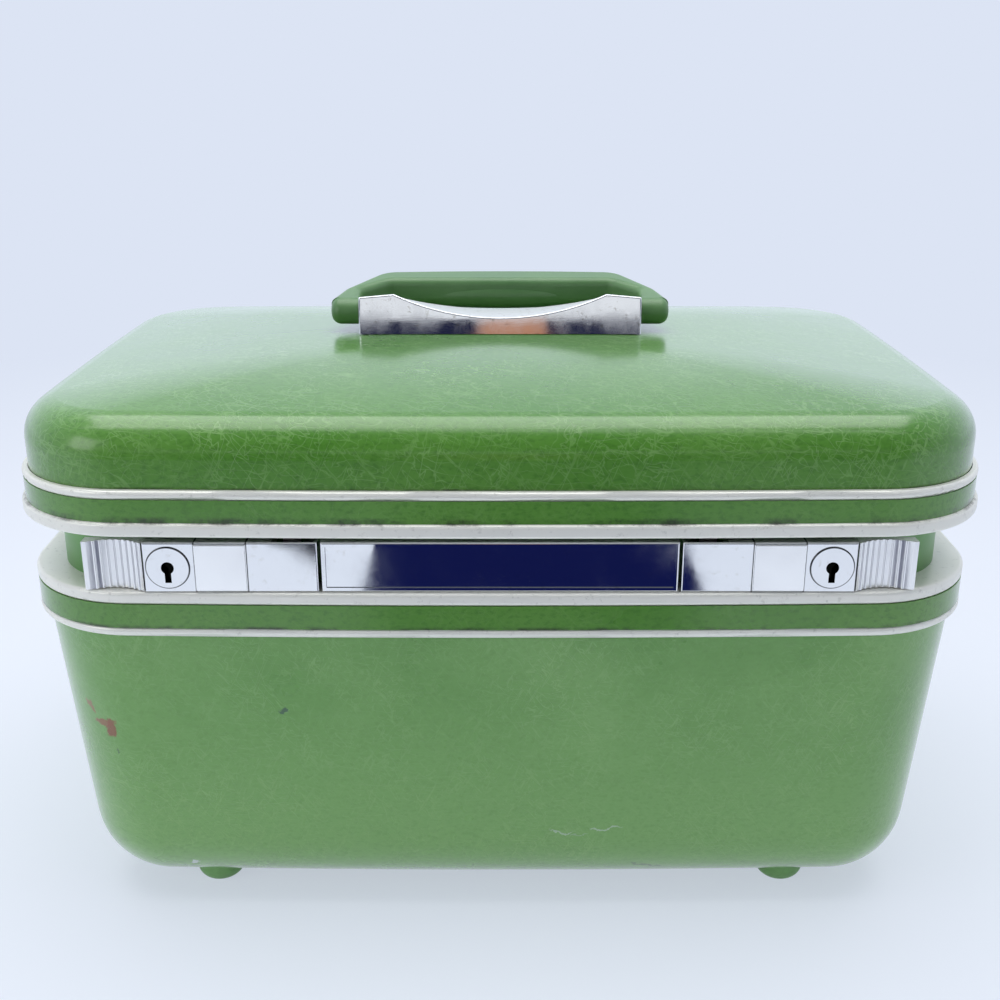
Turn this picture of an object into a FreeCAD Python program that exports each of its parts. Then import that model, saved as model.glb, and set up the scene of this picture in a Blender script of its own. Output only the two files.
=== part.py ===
"""Makeup train case: a rigid vinyl-covered case with a hinged crowned lid, bail handle, two slide latches
with locks, lid stays, a mirror and a lift-out tray.  Millimetres, +Z up, front at -Y, floor at z = 0."""

import FreeCAD, Part
import Sketcher
import math
import os
from FreeCAD import Placement, Rotation, Vector

doc = FreeCAD.newDocument("train_case")

# Driving dimensions, one cell each
SIZES = {
    "case_width": 345.0,
    "case_depth": 220.0,
    "corner_radius": 44.0,
    "front_bow_radius": 4500.0,
    "side_bow_radius": 3000.0,
    "foot_height": 4.2,
    "foot_diameter": 19.0,
    "foot_flat_diameter": 8.0,
    "foot_from_side": 60.5,
    "foot_from_front": 38.0,
    "foot_dome_height": 6.0,
    "foot_rivet_inset": 6.0,
    "foot_rivet_gap": 0.3,
    "foot_rivet_diameter": 4.0,
    "rivet_head_height": 1.0,
    "base_height": 128.8,
    "base_taper_deg": 5.0,
    "base_edge_radius": 31.0,
    "shell_wall": 3.0,
    "lining_thickness": 1.5,
    "lining_gap": 0.3,
    "lower_rim_inset": 0.9,
    "ledge_thickness": 4.6,
    "rim_round": 1.4,
    "skirt_thickness": 1.2,
    "skirt_height": 12.0,
    "band_thickness": 0.8,
    "bead_height": 3.2,
    "bead_round": 1.4,
    "bead_proud": 0.9,
    "band_sink": 0.1,
    "neck_inset": 11.5,
    "neck_wall": 4.0,
    "neck_height": 20.4,
    "parting_gap": 0.3,
    "lid_rim_thickness": 5.0,
    "lid_rim_proud": 1.2,
    "lid_skirt_height": 11.2,
    "lid_wall_gap": 0.2,
    "lid_wall_height": 35.4,
    "lid_edge_radius": 14.0,
    "crown_lean_deg": 80.0,
    "crown_rise": 8.2,
    "plateau_depth": 42.0,
    "strip_setback": 1.8,
    "strip_height": 18.1,
    "strip_seat_gap": 0.1,
    "plate_thickness": 1.0,
    "plate_edge_round": 0.6,
    "plate_gap": 1.0,
    "latch_from_side": 111.7,
    "border_width": 1.6,
    "border_height": 0.5,
    "latch_plate_length": 59.4,
    "pad_offset": 24.1,
    "pad_width": 17.7,
    "pad_proud": 0.6,
    "pad_edge_round": 0.36,
    "lock_offset": 51.0,
    "lock_diameter": 15.3,
    "lock_clearance": 0.05,
    "lock_proud": 0.5,
    "lock_edge_round": 0.4,
    "lock_depth": 3.1,
    "keyhole_diameter": 4.4,
    "keyhole_slot_width": 2.2,
    "keyhole_slot_length": 5.4,
    "keyhole_depth": 2.5,
    "keyhole_overcut": 1.0,
    "cam_thickness": 1.2,
    "cam_reach": 7.0,
    "cam_width": 5.0,
    "slide_gap": 0.3,
    "scoop_length": 20.5,
    "scoop_hollow": 4.0,
    "scoop_lip": 1.6,
    "scoop_wall": 4.8,
    "scoop_depth_share": 0.58,
    "slide_link_length": 6.0,
    "rib_margin_share": 0.12,
    "rib_count": 8.0,
    "rib_radius": 0.55,
    "slide_bar_height": 6.0,
    "slide_bar_thickness": 2.0,
    "bolt_length": 11.0,
    "bolt_height": 5.0,
    "latch_clearance": 0.4,
    "strike_offset": 6.2,
    "strike_width": 6.0,
    "strike_thickness": 1.2,
    "strike_drop": 12.0,
    "strike_flange_width": 14.0,
    "strike_flange_depth": 6.0,
    "strike_slot_clearance": 1.5,
    "spring_length": 17.6,
    "spring_strip": 0.5,
    "spring_width": 4.0,
    "spring_wave": 2.2,
    "spring_end_gap": 0.1,
    "spring_waves": 8.0,
    "hinge_spread": 190.0,
    "hinge_width": 40.0,
    "hinge_axis_inset": 8.0,
    "hinge_axis_drop": 4.3,
    "hinge_barrel_diameter": 6.0,
    "hinge_pin_diameter": 3.0,
    "running_clearance": 0.05,
    "hinge_leaf_thickness": 1.2,
    "knuckle_gap": 0.3,
    "hinge_leaf_height": 13.0,
    "hinge_leaf_depth": 7.0,
    "stay_radius": 60.0,
    "stay_closed_angle": 24.0,
    "stay_inset": 21.5,
    "stay_thickness": 2.0,
    "stay_width": 10.0,
    "stay_slot_length": 82.0,
    "stay_pin_diameter": 4.0,
    "stay_slot_clearance": 0.3,
    "stud_head_diameter": 8.0,
    "stud_head_thickness": 1.5,
    "stud_shoulder": 0.8,
    "stud_wall_gap": 0.6,
    "mirror_width": 210.0,
    "mirror_depth": 118.0,
    "mirror_thickness": 3.0,
    "mirror_corner": 14.0,
    "mirror_frame_width": 5.0,
    "mirror_frame_thickness": 4.2,
    "mirror_rebate": 1.5,
    "tray_from_side": 30.5,
    "tray_from_front": 18.5,
    "tray_height": 30.0,
    "tray_wall": 2.0,
    "tray_corner": 30.0,
    "tray_flange": 4.0,
    "tray_top_drop": 3.0,
    "tray_cell": 62.0,
    "ledge_rail_length": 180.0,
    "ledge_rail_height": 6.0,
    "tray_seat_gap": 0.3,
    "bracket_length": 112.0,
    "bracket_depth": 20.0,
    "bracket_end_height": 14.4,
    "bracket_shoulder": 14.0,
    "bracket_shoulder_rise": 1.2,
    "bracket_back_drop": 4.4,
    "bracket_front_lean_deg": 7.0,
    "bracket_rivet_sink": 3.2,
    "bracket_mid_height": 6.4,
    "bracket_edge_round": 0.7,
    "bracket_rivet_spread": 60.0,
    "bracket_rivet_diameter": 4.0,
    "handle_pivot_height": 7.6,
    "handle_pin_diameter": 5.0,
    "handle_pin_grip": 8.0,
    "handle_side_gap": 0.6,
    "handle_arm_width": 11.0,
    "handle_pin_cover": 2.0,
    "handle_arm_straight": 13.0,
    "handle_arm_neck": 7.0,
    "handle_arm_lean": 10.0,
    "handle_grip_lean": 6.5,
    "handle_grip_bow": 1.6,
    "handle_inner_radius": 5.0,
    "handle_tip_round": 3.8,
    "handle_tip_diameter": 10.8,
    "handle_reach": 38.0,
    "handle_grip_width": 14.0,
    "handle_thickness": 10.8,
    "handle_shoulder_radius": 11.0,
    "handle_edge_round": 2.9,
    "handle_rest_angle": 8.0,
    "handle_swell_over": 1.0,
    "handle_swell_width": 16.0,
    "handle_swell_height": 13.6,
    "handle_swell_drop": 2.2,
    "backing_plate_length": 100.0,
    "backing_plate_depth": 18.0,
    "backing_plate_thickness": 1.5,
}

# Places worked out from the driving dimensions
PLACES = {
    "ledge_bottom": "Sizes.foot_height + Sizes.base_height",
    "ledge_top": "Sizes.foot_height + Sizes.base_height + Sizes.ledge_thickness",
    "neck_top": "ledge_top + Sizes.neck_height",
    "rim_bottom": "neck_top + Sizes.parting_gap",
    "rim_top": "rim_bottom + Sizes.lid_rim_thickness",
    "lid_edge_top": "rim_top + Sizes.lid_wall_height",
    "frame_inset": "Sizes.neck_inset + Sizes.neck_wall",
    "base_wall_inset": "Sizes.lower_rim_inset + Sizes.band_thickness + Sizes.skirt_thickness",
    "lid_wall_inset": "Sizes.band_thickness + Sizes.skirt_thickness + Sizes.lid_wall_gap",
    "strip_face": "-Sizes.case_depth / 2 + Sizes.lower_rim_inset + Sizes.strip_setback",
    "strip_bottom": "ledge_top + Sizes.strip_seat_gap",
    "strip_middle": "strip_bottom + Sizes.strip_height / 2",
    "neck_front": "-Sizes.case_depth / 2 + Sizes.neck_inset",
    "centre_plate_length": "Sizes.case_width - 2 * Sizes.latch_from_side",
    "latch_start": "centre_plate_length / 2 + Sizes.plate_gap",
    "latch_end": "latch_start + Sizes.latch_plate_length",
    "lock_x": "latch_start + Sizes.lock_offset",
    "lock_back": "strip_face + Sizes.lock_depth",
    "bar_front": "lock_back + Sizes.cam_thickness + Sizes.slide_gap",
    "bar_bottom": "strip_bottom + Sizes.plate_thickness + Sizes.slide_gap",
    "strike_x": "latch_start + Sizes.strike_offset",
    "bolt_x": "strike_x + Sizes.strike_width + Sizes.latch_clearance",
    "hinge_y": "Sizes.case_depth / 2 - Sizes.hinge_axis_inset",
    "hinge_z": "rim_bottom - Sizes.hinge_axis_drop",
    "stay_x": "Sizes.case_width / 2 - Sizes.stay_inset",
    "pivot_z": "lid_edge_top + Sizes.crown_rise + Sizes.handle_pivot_height",
    "bracket_bottom": "lid_edge_top + Sizes.crown_rise",
    "lid_ceiling": "lid_edge_top - Sizes.shell_wall",
    "tray_top": "ledge_top - Sizes.tray_top_drop",
    "tray_length": "Sizes.case_width - 2 * Sizes.tray_from_side",
    "tray_depth": "Sizes.case_depth - 2 * Sizes.tray_from_front",
    "foot_spread_x": "Sizes.case_width - 2 * Sizes.foot_from_side",
    "foot_spread_y": "Sizes.case_depth - 2 * Sizes.foot_from_front",
    "handle_opening_length": "Sizes.bracket_length - 2 * Sizes.handle_arm_lean",
    "handle_grip_length": "Sizes.bracket_length - 2 * Sizes.handle_grip_lean",
    "handle_swell_length": "handle_grip_length + Sizes.handle_swell_over",
}

sheet = doc.addObject("Spreadsheet::Sheet", "Sizes")
for row, (alias, number) in enumerate(SIZES.items(), 1):
    sheet.set("A%d" % row, alias)
    sheet.set("B%d" % row, str(number))
    sheet.setAlias("B%d" % row, alias)
doc.recompute()

places = doc.addObject("Spreadsheet::Sheet", "Places")
for row, (alias, formula) in enumerate(PLACES.items(), 1):
    places.set("A%d" % row, alias)
    places.set("B%d" % row, "=" + formula)
    places.setAlias("B%d" % row, alias)
    doc.recompute()

nodes = {}


def size(name):
    """Value of a driving dimension or of a place."""
    holder = sheet if name in SIZES else places
    return float(holder.get(name))


def keep(label, item):
    """Register a finished sub-part under its own label."""
    item.Label = label
    nodes[label] = item
    return item


def bind(item, bindings):
    """Bind properties of an object to expressions over the sheets."""
    for prop, expression in bindings.items():
        item.setExpression(prop, expression)
    return item


def box(name, x, y, z, length, width, height):
    """Block whose corner and sizes are expressions."""
    item = doc.addObject("Part::Box", name)
    return bind(item, {
        "Placement.Base.x": x, "Placement.Base.y": y, "Placement.Base.z": z,
        "Length": length, "Width": width, "Height": height,
    })


def rod(name, axis, x, y, z, radius, length):
    """Cylinder along one axis from the given point, all given as expressions."""
    item = doc.addObject("Part::Cylinder", name)
    turns = {"x": Rotation(Vector(0, 1, 0), 90), "y": Rotation(Vector(1, 0, 0), -90), "z": Rotation()}
    item.Placement = Placement(Vector(), turns[axis])
    return bind(item, {
        "Placement.Base.x": x, "Placement.Base.y": y, "Placement.Base.z": z,
        "Radius": radius, "Height": length,
    })


def fuse(name, shapes):
    """Union of several objects."""
    item = doc.addObject("Part::MultiFuse", name)
    item.Shapes = shapes
    return item


def cut(name, base, tools):
    """Base with the tools taken away."""
    tool = tools[0] if len(tools) == 1 else fuse(name + "_tools", tools)
    item = doc.addObject("Part::Cut", name)
    item.Base = base
    item.Tool = tool
    return item


def rounded(name, base, radius, wanted):
    """Fillet on the edges that the test picks."""
    doc.recompute()
    item = doc.addObject("Part::Fillet", name)
    item.Base = base
    item.Edges = [(i, radius, radius) for i, edge in enumerate(base.Shape.Edges, 1) if wanted(edge)]
    return item


def mirrored(name, source):
    """Left-hand copy of a right-hand piece."""
    item = doc.addObject("Part::Mirroring", name)
    item.Source = source
    item.Base = Vector()
    item.Normal = Vector(1, 0, 0)
    return item


def pair(label, right):
    """Register a right-hand piece and its mirrored left-hand twin."""
    keep(label + "_right", right)
    keep(label + "_left", mirrored(label + "_mirror", right))


def solid(label, shape):
    """Sub-part whose shape follows the bowed case outline."""
    item = doc.addObject("Part::Feature", label)
    item.Shape = shape
    return keep(label, item)


def flat_at(z):
    """Edge test: the whole edge lies at the given height."""
    return lambda edge: abs(edge.BoundBox.ZMin - z) < 1e-4 and abs(edge.BoundBox.ZMax - z) < 1e-4


def face_front(y):
    """Edge test: the whole edge lies in a plane facing the front."""
    return lambda edge: abs(edge.BoundBox.YMin - y) < 1e-4 and abs(edge.BoundBox.YMax - y) < 1e-4


def on_circle(centre, radius, angle):
    """Point of a circle in plan."""
    return Vector(centre.x + radius * math.cos(angle), centre.y + radius * math.sin(angle), centre.z)


def bowed_wire(inset, z, scale=1.0):
    """Closed plan outline of the case: bowed sides and round corners, drawn in by an inset."""
    half_width = (size("case_width") / 2 - inset) * scale
    half_depth = (size("case_depth") / 2 - inset) * scale
    corner = (size("corner_radius") - inset) * scale
    front = (size("front_bow_radius") - inset) * scale
    side = (size("side_bow_radius") - inset) * scale
    front_centre = Vector(0, front - half_depth, z)
    side_centre = Vector(half_width - side, 0, z)
    gap = side_centre - front_centre
    along = ((front - corner) ** 2 - (side - corner) ** 2 + gap.Length ** 2) / (2 * gap.Length)
    across = math.sqrt((front - corner) ** 2 - along ** 2)
    unit = gap / gap.Length
    corner_centre = front_centre + unit * along + Vector(-unit.y, unit.x, 0) * across
    front_end = math.atan2(corner_centre.y - front_centre.y, corner_centre.x - front_centre.x)
    side_start = math.atan2(corner_centre.y - side_centre.y, corner_centre.x - side_centre.x)
    spans = [
        (front_centre, front, -math.pi / 2, front_end),
        (corner_centre, corner, front_end, side_start),
        (side_centre, side, side_start, 0.0),
    ]
    quarter = [tuple(on_circle(c, r, t) for t in (a, (a + b) / 2, b)) for c, r, a, b in spans]
    half = quarter + [tuple(Vector(p.x, -p.y, z) for p in arc[::-1]) for arc in quarter[::-1]]
    whole = half + [tuple(Vector(-p.x, p.y, z) for p in arc[::-1]) for arc in half[::-1]]
    return Part.Wire([Part.Arc(*arc).toShape() for arc in whole])


def prism(inset, low, high):
    """Upright block with the case outline."""
    return Part.Face(bowed_wire(inset, low)).extrude(Vector(0, 0, high - low))


def ring(outer, inner, low, high):
    """Upright band between two insets of the case outline."""
    return prism(outer, low, high).cut(prism(inner, low, high))


def fillet_at(shape, radius, heights):
    """Round the edges that lie at the given heights."""
    edges = [edge for edge in shape.Edges if any(flat_at(z)(edge) for z in heights)]
    return shape.makeFillet(radius, edges)


def rounded_ring(outer, inner, low, high, radius):
    """Band whose two outer edges are rounded."""
    return fillet_at(prism(outer, low, high), radius, (low, high)).cut(prism(inner, low, high))


def tub(inset, low, high, edge_radius):
    """Tapered block with a rounded bottom edge."""
    draw = math.tan(math.radians(size("base_taper_deg"))) * (size("ledge_bottom") - low)
    top_draw = math.tan(math.radians(size("base_taper_deg"))) * (size("ledge_bottom") - high)
    block = Part.makeLoft([bowed_wire(inset + draw, low), bowed_wire(inset + top_draw, high)], True, True)
    return fillet_at(block, edge_radius, (low,))


def base_block():
    """Outer form of the base, before it is hollowed."""
    return tub(size("base_wall_inset"), size("foot_height"), size("ledge_bottom"), size("base_edge_radius"))


def make_base_shell():
    """Tapered tub of the base, with holes for the foot rivets."""
    low = size("foot_height")
    wall = size("shell_wall")
    top = size("ledge_bottom")
    inner = tub(size("base_wall_inset") + wall, low + wall, top, size("base_edge_radius") - wall)
    shell = base_block().cut(inner)
    for spot in foot_rivet_spots():
        below = spot - Vector(0, 0, low)
        hole = Part.makeCylinder(size("foot_rivet_diameter") / 2, low + 2 * wall, below)
        spot_face = Part.makeCylinder(size("foot_rivet_diameter"), 2 * wall, spot + Vector(0, 0, wall))
        shell = shell.cut(hole).cut(spot_face)
    solid("base_shell", shell)


def make_base_lining():
    """Thin tub of lining inside the base."""
    gap = size("shell_wall") + size("lining_gap")
    thick = size("lining_thickness")
    low = size("foot_height") + gap + size("rivet_head_height")
    top = size("ledge_bottom") - size("lining_gap")
    inset = size("base_wall_inset") + gap
    radius = size("base_edge_radius") - gap
    lining = tub(inset, low, top, radius).cut(tub(inset + thick, low + thick, top, radius - thick))
    solid("base_lining", lining)


def make_frame(label, inset, rim_inset, rim_span, skirt_span, bead_span):
    """Metal frame: a flat rim, a skirt that backs the band, and a rounded bead along the skirt's edge."""
    rim = rounded_ring(rim_inset, size("frame_inset"), rim_span[0], rim_span[1], size("rim_round"))
    skirt_outer = inset + size("band_thickness")
    skirt_inner = skirt_outer + size("skirt_thickness")
    skirt = ring(skirt_outer, skirt_inner, *skirt_span)
    bead = rounded_ring(skirt_outer - size("bead_proud"), skirt_inner, bead_span[0], bead_span[1],
                        size("bead_round"))
    solid(label, rim.fuse([skirt, bead]).removeSplitter())


def make_base_frame():
    """Metal frame round the mouth of the base, its vinyl band and the recessed neck above it."""
    top = size("ledge_bottom")
    low = top - size("skirt_height")
    inset = size("lower_rim_inset")
    bead_top = low + size("bead_height")
    make_frame("base_frame", inset, inset, (top, size("ledge_top")), (low, top), (low, bead_top))
    solid("base_band", ring(inset + size("band_sink"), inset + size("band_thickness"), bead_top, top))
    solid("base_neck", ring(size("neck_inset"), size("frame_inset"), size("ledge_top"), size("neck_top")))


def make_lid_frame():
    """Metal frame round the mouth of the lid and its vinyl band."""
    low = size("rim_top")
    top = low + size("lid_skirt_height")
    bead_low = top - size("bead_height")
    rim_span = (size("rim_bottom"), low)
    make_frame("lid_frame", 0.0, -size("lid_rim_proud"), rim_span, (low, top), (bead_low, top))
    solid("lid_band", ring(size("band_sink"), size("band_thickness"), low, bead_low))


def crown_cap(start_inset, low):
    """Pillowed top: outlines that shrink towards a flat plateau under the handle."""
    share = size("plateau_depth") / (size("case_depth") - 2 * start_inset)
    steps = 6
    wires = []
    for step in range(steps):
        part = step / (steps - 1)
        rise = size("crown_rise") * (1 - (1 - part) ** 2)
        wires.append(bowed_wire(start_inset, low + rise, 1 - (1 - share) * part))
    return Part.makeLoft(wires, True, False)


def make_lid_shell():
    """Crowned lid: upright walls, a rounded top edge and a pillowed top, hollow inside."""
    inset = size("lid_wall_inset")
    low = size("rim_top")
    top = size("lid_edge_top")
    radius = size("lid_edge_radius")
    lean = math.radians(size("crown_lean_deg"))
    crown_inset = inset + radius * (1 - math.cos(lean))
    crown_low = top - radius * (1 - math.sin(lean))
    block = fillet_at(prism(inset, low, top), radius, (top,))
    block = block.common(prism(0.0, low, crown_low))
    block = block.fuse(crown_cap(crown_inset, crown_low))
    wall = size("shell_wall")
    hollow = fillet_at(prism(inset + wall, low, size("lid_ceiling")), radius - wall, (size("lid_ceiling"),))
    shell = block.cut(hollow)
    for spot in rivet_spots(size("lid_ceiling")):
        shell = shell.cut(Part.makeCylinder(size("bracket_rivet_diameter") / 2, 2 * radius, spot))
    solid("lid_shell", shell)


def make_lid_lining():
    """Thin lining inside the lid, open over the handle's backing plate."""
    inset = size("lid_wall_inset") + size("shell_wall") + size("lining_gap")
    thick = size("lining_thickness")
    low = size("rim_top") + size("lining_gap")
    top = size("lid_ceiling") - size("backing_plate_thickness") - size("rivet_head_height") - size("lining_gap")
    radius = size("lid_edge_radius") - size("shell_wall") - size("lining_gap")
    outer = fillet_at(prism(inset, low, top), radius, (top,))
    inner = fillet_at(prism(inset + thick, low, top - thick), radius - thick, (top - thick,))
    solid("lid_lining", outer.cut(inner))


def foot_spots():
    """Centres of the four feet on the underside of the base."""
    z = size("foot_height")
    return [Vector(sx * size("foot_spread_x") / 2, sy * size("foot_spread_y") / 2, z)
            for sx in (-1, 1) for sy in (-1, 1)]


def foot_rivet_spots():
    """Axes of the foot rivets, a little nearer the middle than the feet, where the underside is flat."""
    inset = size("foot_rivet_inset")
    return [spot - Vector(0, math.copysign(inset, spot.y), 0) for spot in foot_spots()]


def rivet_spots(z):
    """Axes of the two rivets that hold the handle bracket."""
    return [Vector(side * size("bracket_rivet_spread") / 2, 0, z) for side in (-1, 1)]


def plane_of(body, role):
    """One of the body's own origin planes."""
    return [item for item in body.Origin.OriginFeatures if item.Role == role][0]


def sketch_on(body, name, role):
    """Sketch on one of the body's origin planes."""
    sketch = body.newObject("Sketcher::SketchObject", name)
    sketch.AttachmentSupport = [(plane_of(body, role), "")]
    sketch.MapMode = "FlatFace"
    return sketch


def make_foot(label, spot, underside):
    """Turned dome foot with a flat underside, shaped on top to the rounded underside of the base."""
    body = doc.addObject("PartDesign::Body", label + "_body")
    sketch = sketch_on(body, label + "_profile", "XZ_Plane")
    radius = size("foot_diameter") / 2
    flat = size("foot_flat_diameter") / 2
    dome = size("foot_dome_height")
    tall = dome + size("foot_height")
    bulge = Vector(flat + (radius - flat) * math.sin(math.pi / 4), dome * (1 - math.cos(math.pi / 4)), 0)
    sketch.addGeometry(Part.LineSegment(Vector(0, 0, 0), Vector(flat, 0, 0)))
    sketch.addGeometry(Part.Arc(Vector(flat, 0, 0), bulge, Vector(radius, dome, 0)))
    sketch.addGeometry(Part.LineSegment(Vector(radius, dome, 0), Vector(radius, tall, 0)))
    sketch.addGeometry(Part.LineSegment(Vector(radius, tall, 0), Vector(0, tall, 0)))
    sketch.addGeometry(Part.LineSegment(Vector(0, tall, 0), Vector(0, 0, 0)))
    joints = [(0, 2, 1, 1), (1, 2, 2, 1), (2, 2, 3, 1), (3, 2, 4, 1), (4, 2, 0, 1)]
    for joint in joints:
        sketch.addConstraint(Sketcher.Constraint("Coincident", *joint))
    sketch.addConstraint(Sketcher.Constraint("Coincident", 0, 1, -1, 1))
    for line in (0, 3):
        sketch.addConstraint(Sketcher.Constraint("Horizontal", line))
    for line in (2, 4):
        sketch.addConstraint(Sketcher.Constraint("Vertical", line))
    driven = [
        (Sketcher.Constraint("DistanceX", 0, 1, 0, 2, flat), "Sizes.foot_flat_diameter / 2"),
        (Sketcher.Constraint("DistanceX", 3, 2, 3, 1, radius), "Sizes.foot_diameter / 2"),
        (Sketcher.Constraint("DistanceY", 4, 2, 4, 1, tall), "Sizes.foot_dome_height + Sizes.foot_height"),
        (Sketcher.Constraint("DistanceY", 0, 2, 1, 2, dome), "Sizes.foot_dome_height"),
    ]
    for constraint, expression in driven:
        index = sketch.addConstraint(constraint)
        sketch.setExpression("Constraints[%d]" % index, expression)
    turned = body.newObject("PartDesign::Revolution", label + "_turned")
    turned.Profile = sketch
    turned.ReferenceAxis = (sketch, ["V_Axis"])
    turned.Angle = 360
    body.Placement = Placement(Vector(spot.x, spot.y, 0), Rotation())
    keep(label, cut(label + "_seat", body, [underside]))


def make_feet():
    """Four dome feet, and the rivets that hold them to the base."""
    names = ("left_front", "left_back", "right_front", "right_back")
    underside = doc.addObject("Part::Feature", "underside")
    underside.Shape = base_block()
    rivets = []
    wall = size("shell_wall")
    radius = size("foot_rivet_diameter") / 2
    for name, spot, rivet in zip(names, foot_spots(), foot_rivet_spots()):
        make_foot("foot_" + name, spot, underside)
        gap = size("foot_rivet_gap")
        shank = Part.makeCylinder(radius, wall - gap, rivet + Vector(0, 0, gap))
        head = Part.makeCylinder(2 * radius, size("rivet_head_height"), rivet + Vector(0, 0, wall))
        rivets.append(shank.fuse(head).removeSplitter())
    solid("foot_rivets", Part.makeCompound(rivets))


def make_centre_plate():
    """Long bright plate between the latches: a shallow pressed channel with a raised border line."""
    left = "-Places.centre_plate_length / 2"
    border = "Sizes.border_width"
    deep = "Places.neck_front - Places.strip_face"
    block = box("centre_block", left, "Places.strip_face", "Places.strip_bottom",
                "Places.centre_plate_length", deep, "Sizes.strip_height")
    block = rounded("centre_round", block, size("plate_edge_round"), face_front(size("strip_face")))
    hollow = box("centre_hollow", left + " + Sizes.plate_thickness",
                 "Places.strip_face + Sizes.plate_thickness + Sizes.border_height",
                 "Places.strip_bottom + Sizes.plate_thickness",
                 "Places.centre_plate_length - 2 * Sizes.plate_thickness", deep,
                 "Sizes.strip_height - 2 * Sizes.plate_thickness")
    panel = box("centre_panel", left + " + " + border, "Places.strip_face - Sizes.border_height",
                "Places.strip_bottom + " + border, "Places.centre_plate_length - 2 * " + border,
                "2 * Sizes.border_height", "Sizes.strip_height - 2 * " + border)
    keep("centre_plate", cut("centre_cut", block, [hollow, panel]))


def make_latch_plates():
    """Bright latch covers: pressed channels with a hole for the lock and a slot for the strike."""
    deep = "Places.neck_front - Places.strip_face"
    block = box("latch_block", "Places.latch_start", "Places.strip_face", "Places.strip_bottom",
                "Sizes.latch_plate_length", deep, "Sizes.strip_height")
    block = rounded("latch_round", block, size("plate_edge_round"), face_front(size("strip_face")))
    hollow = box("latch_hollow", "Places.latch_start + Sizes.plate_thickness",
                 "Places.strip_face + Sizes.plate_thickness", "Places.strip_bottom + Sizes.plate_thickness",
                 "Sizes.latch_plate_length", deep, "Sizes.strip_height - 2 * Sizes.plate_thickness")
    hole = rod("latch_hole", "y", "Places.lock_x", "Places.strip_face - 1", "Places.strip_middle",
               "Sizes.lock_diameter / 2 + Sizes.lock_clearance", "Sizes.plate_thickness + 2")
    slot = box("latch_slot", "Places.strike_x - Sizes.strike_slot_clearance",
               "Places.strip_face + Sizes.plate_thickness", "Places.strip_middle",
               "Sizes.strike_width + 2 * Sizes.strike_slot_clearance", deep, "Sizes.strip_height")
    stop = box("latch_stop", "Places.bolt_x + Sizes.bolt_length + Sizes.spring_length",
               "Places.bar_front", "Places.bar_bottom + Sizes.slide_bar_height + Sizes.slide_gap",
               "Sizes.plate_thickness", "Sizes.slide_bar_thickness",
               "Places.strip_bottom + Sizes.strip_height - Sizes.plate_thickness"
               " - (Places.bar_bottom + Sizes.slide_bar_height + Sizes.slide_gap)")
    shell = cut("latch_cut", block, [hollow, hole, slot])
    pair("latch_plate", fuse("latch_with_stop", [shell, stop]))


def make_satin_pads():
    """Square satin pads set on the latch covers."""
    pad = box("pad_block", "Places.latch_start + Sizes.pad_offset", "Places.strip_face - Sizes.pad_proud",
              "Places.strip_bottom + Sizes.plate_edge_round", "Sizes.pad_width", "Sizes.pad_proud",
              "Sizes.strip_height - 2 * Sizes.plate_edge_round")
    front = face_front(size("strip_face") - size("pad_proud"))
    pair("satin_pad", rounded("pad_round", pad, size("pad_edge_round"), front))


def make_locks():
    """Round lock plugs with a keyhole, and the cams they turn."""
    front = "Places.strip_face - Sizes.lock_proud"
    plug = rod("plug_disc", "y", "Places.lock_x", front, "Places.strip_middle",
               "Sizes.lock_diameter / 2", "Sizes.lock_depth + Sizes.lock_proud")
    plug = rounded("plug_round", plug, size("lock_edge_round"),
                   face_front(size("strip_face") - size("lock_proud")))
    hole = rod("plug_hole", "y", "Places.lock_x", front + " - Sizes.keyhole_overcut", "Places.strip_middle",
               "Sizes.keyhole_diameter / 2", "Sizes.keyhole_depth + Sizes.keyhole_overcut")
    slot = box("plug_slot", "Places.lock_x - Sizes.keyhole_slot_width / 2", front + " - Sizes.keyhole_overcut",
               "Places.strip_middle - Sizes.keyhole_slot_length", "Sizes.keyhole_slot_width",
               "Sizes.keyhole_depth + Sizes.keyhole_overcut", "Sizes.keyhole_slot_length")
    pair("lock_plug", cut("plug_cut", plug, [hole, slot]))
    hub = rod("cam_hub", "y", "Places.lock_x", "Places.lock_back", "Places.strip_middle",
              "Sizes.cam_width / 2", "Sizes.cam_thickness")
    finger = box("cam_finger", "Places.lock_x - Sizes.cam_width / 2", "Places.lock_back", "Places.strip_middle",
                 "Sizes.cam_width", "Sizes.cam_thickness", "Sizes.cam_reach")
    pair("lock_cam", fuse("cam_fuse", [hub, finger]))


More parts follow.
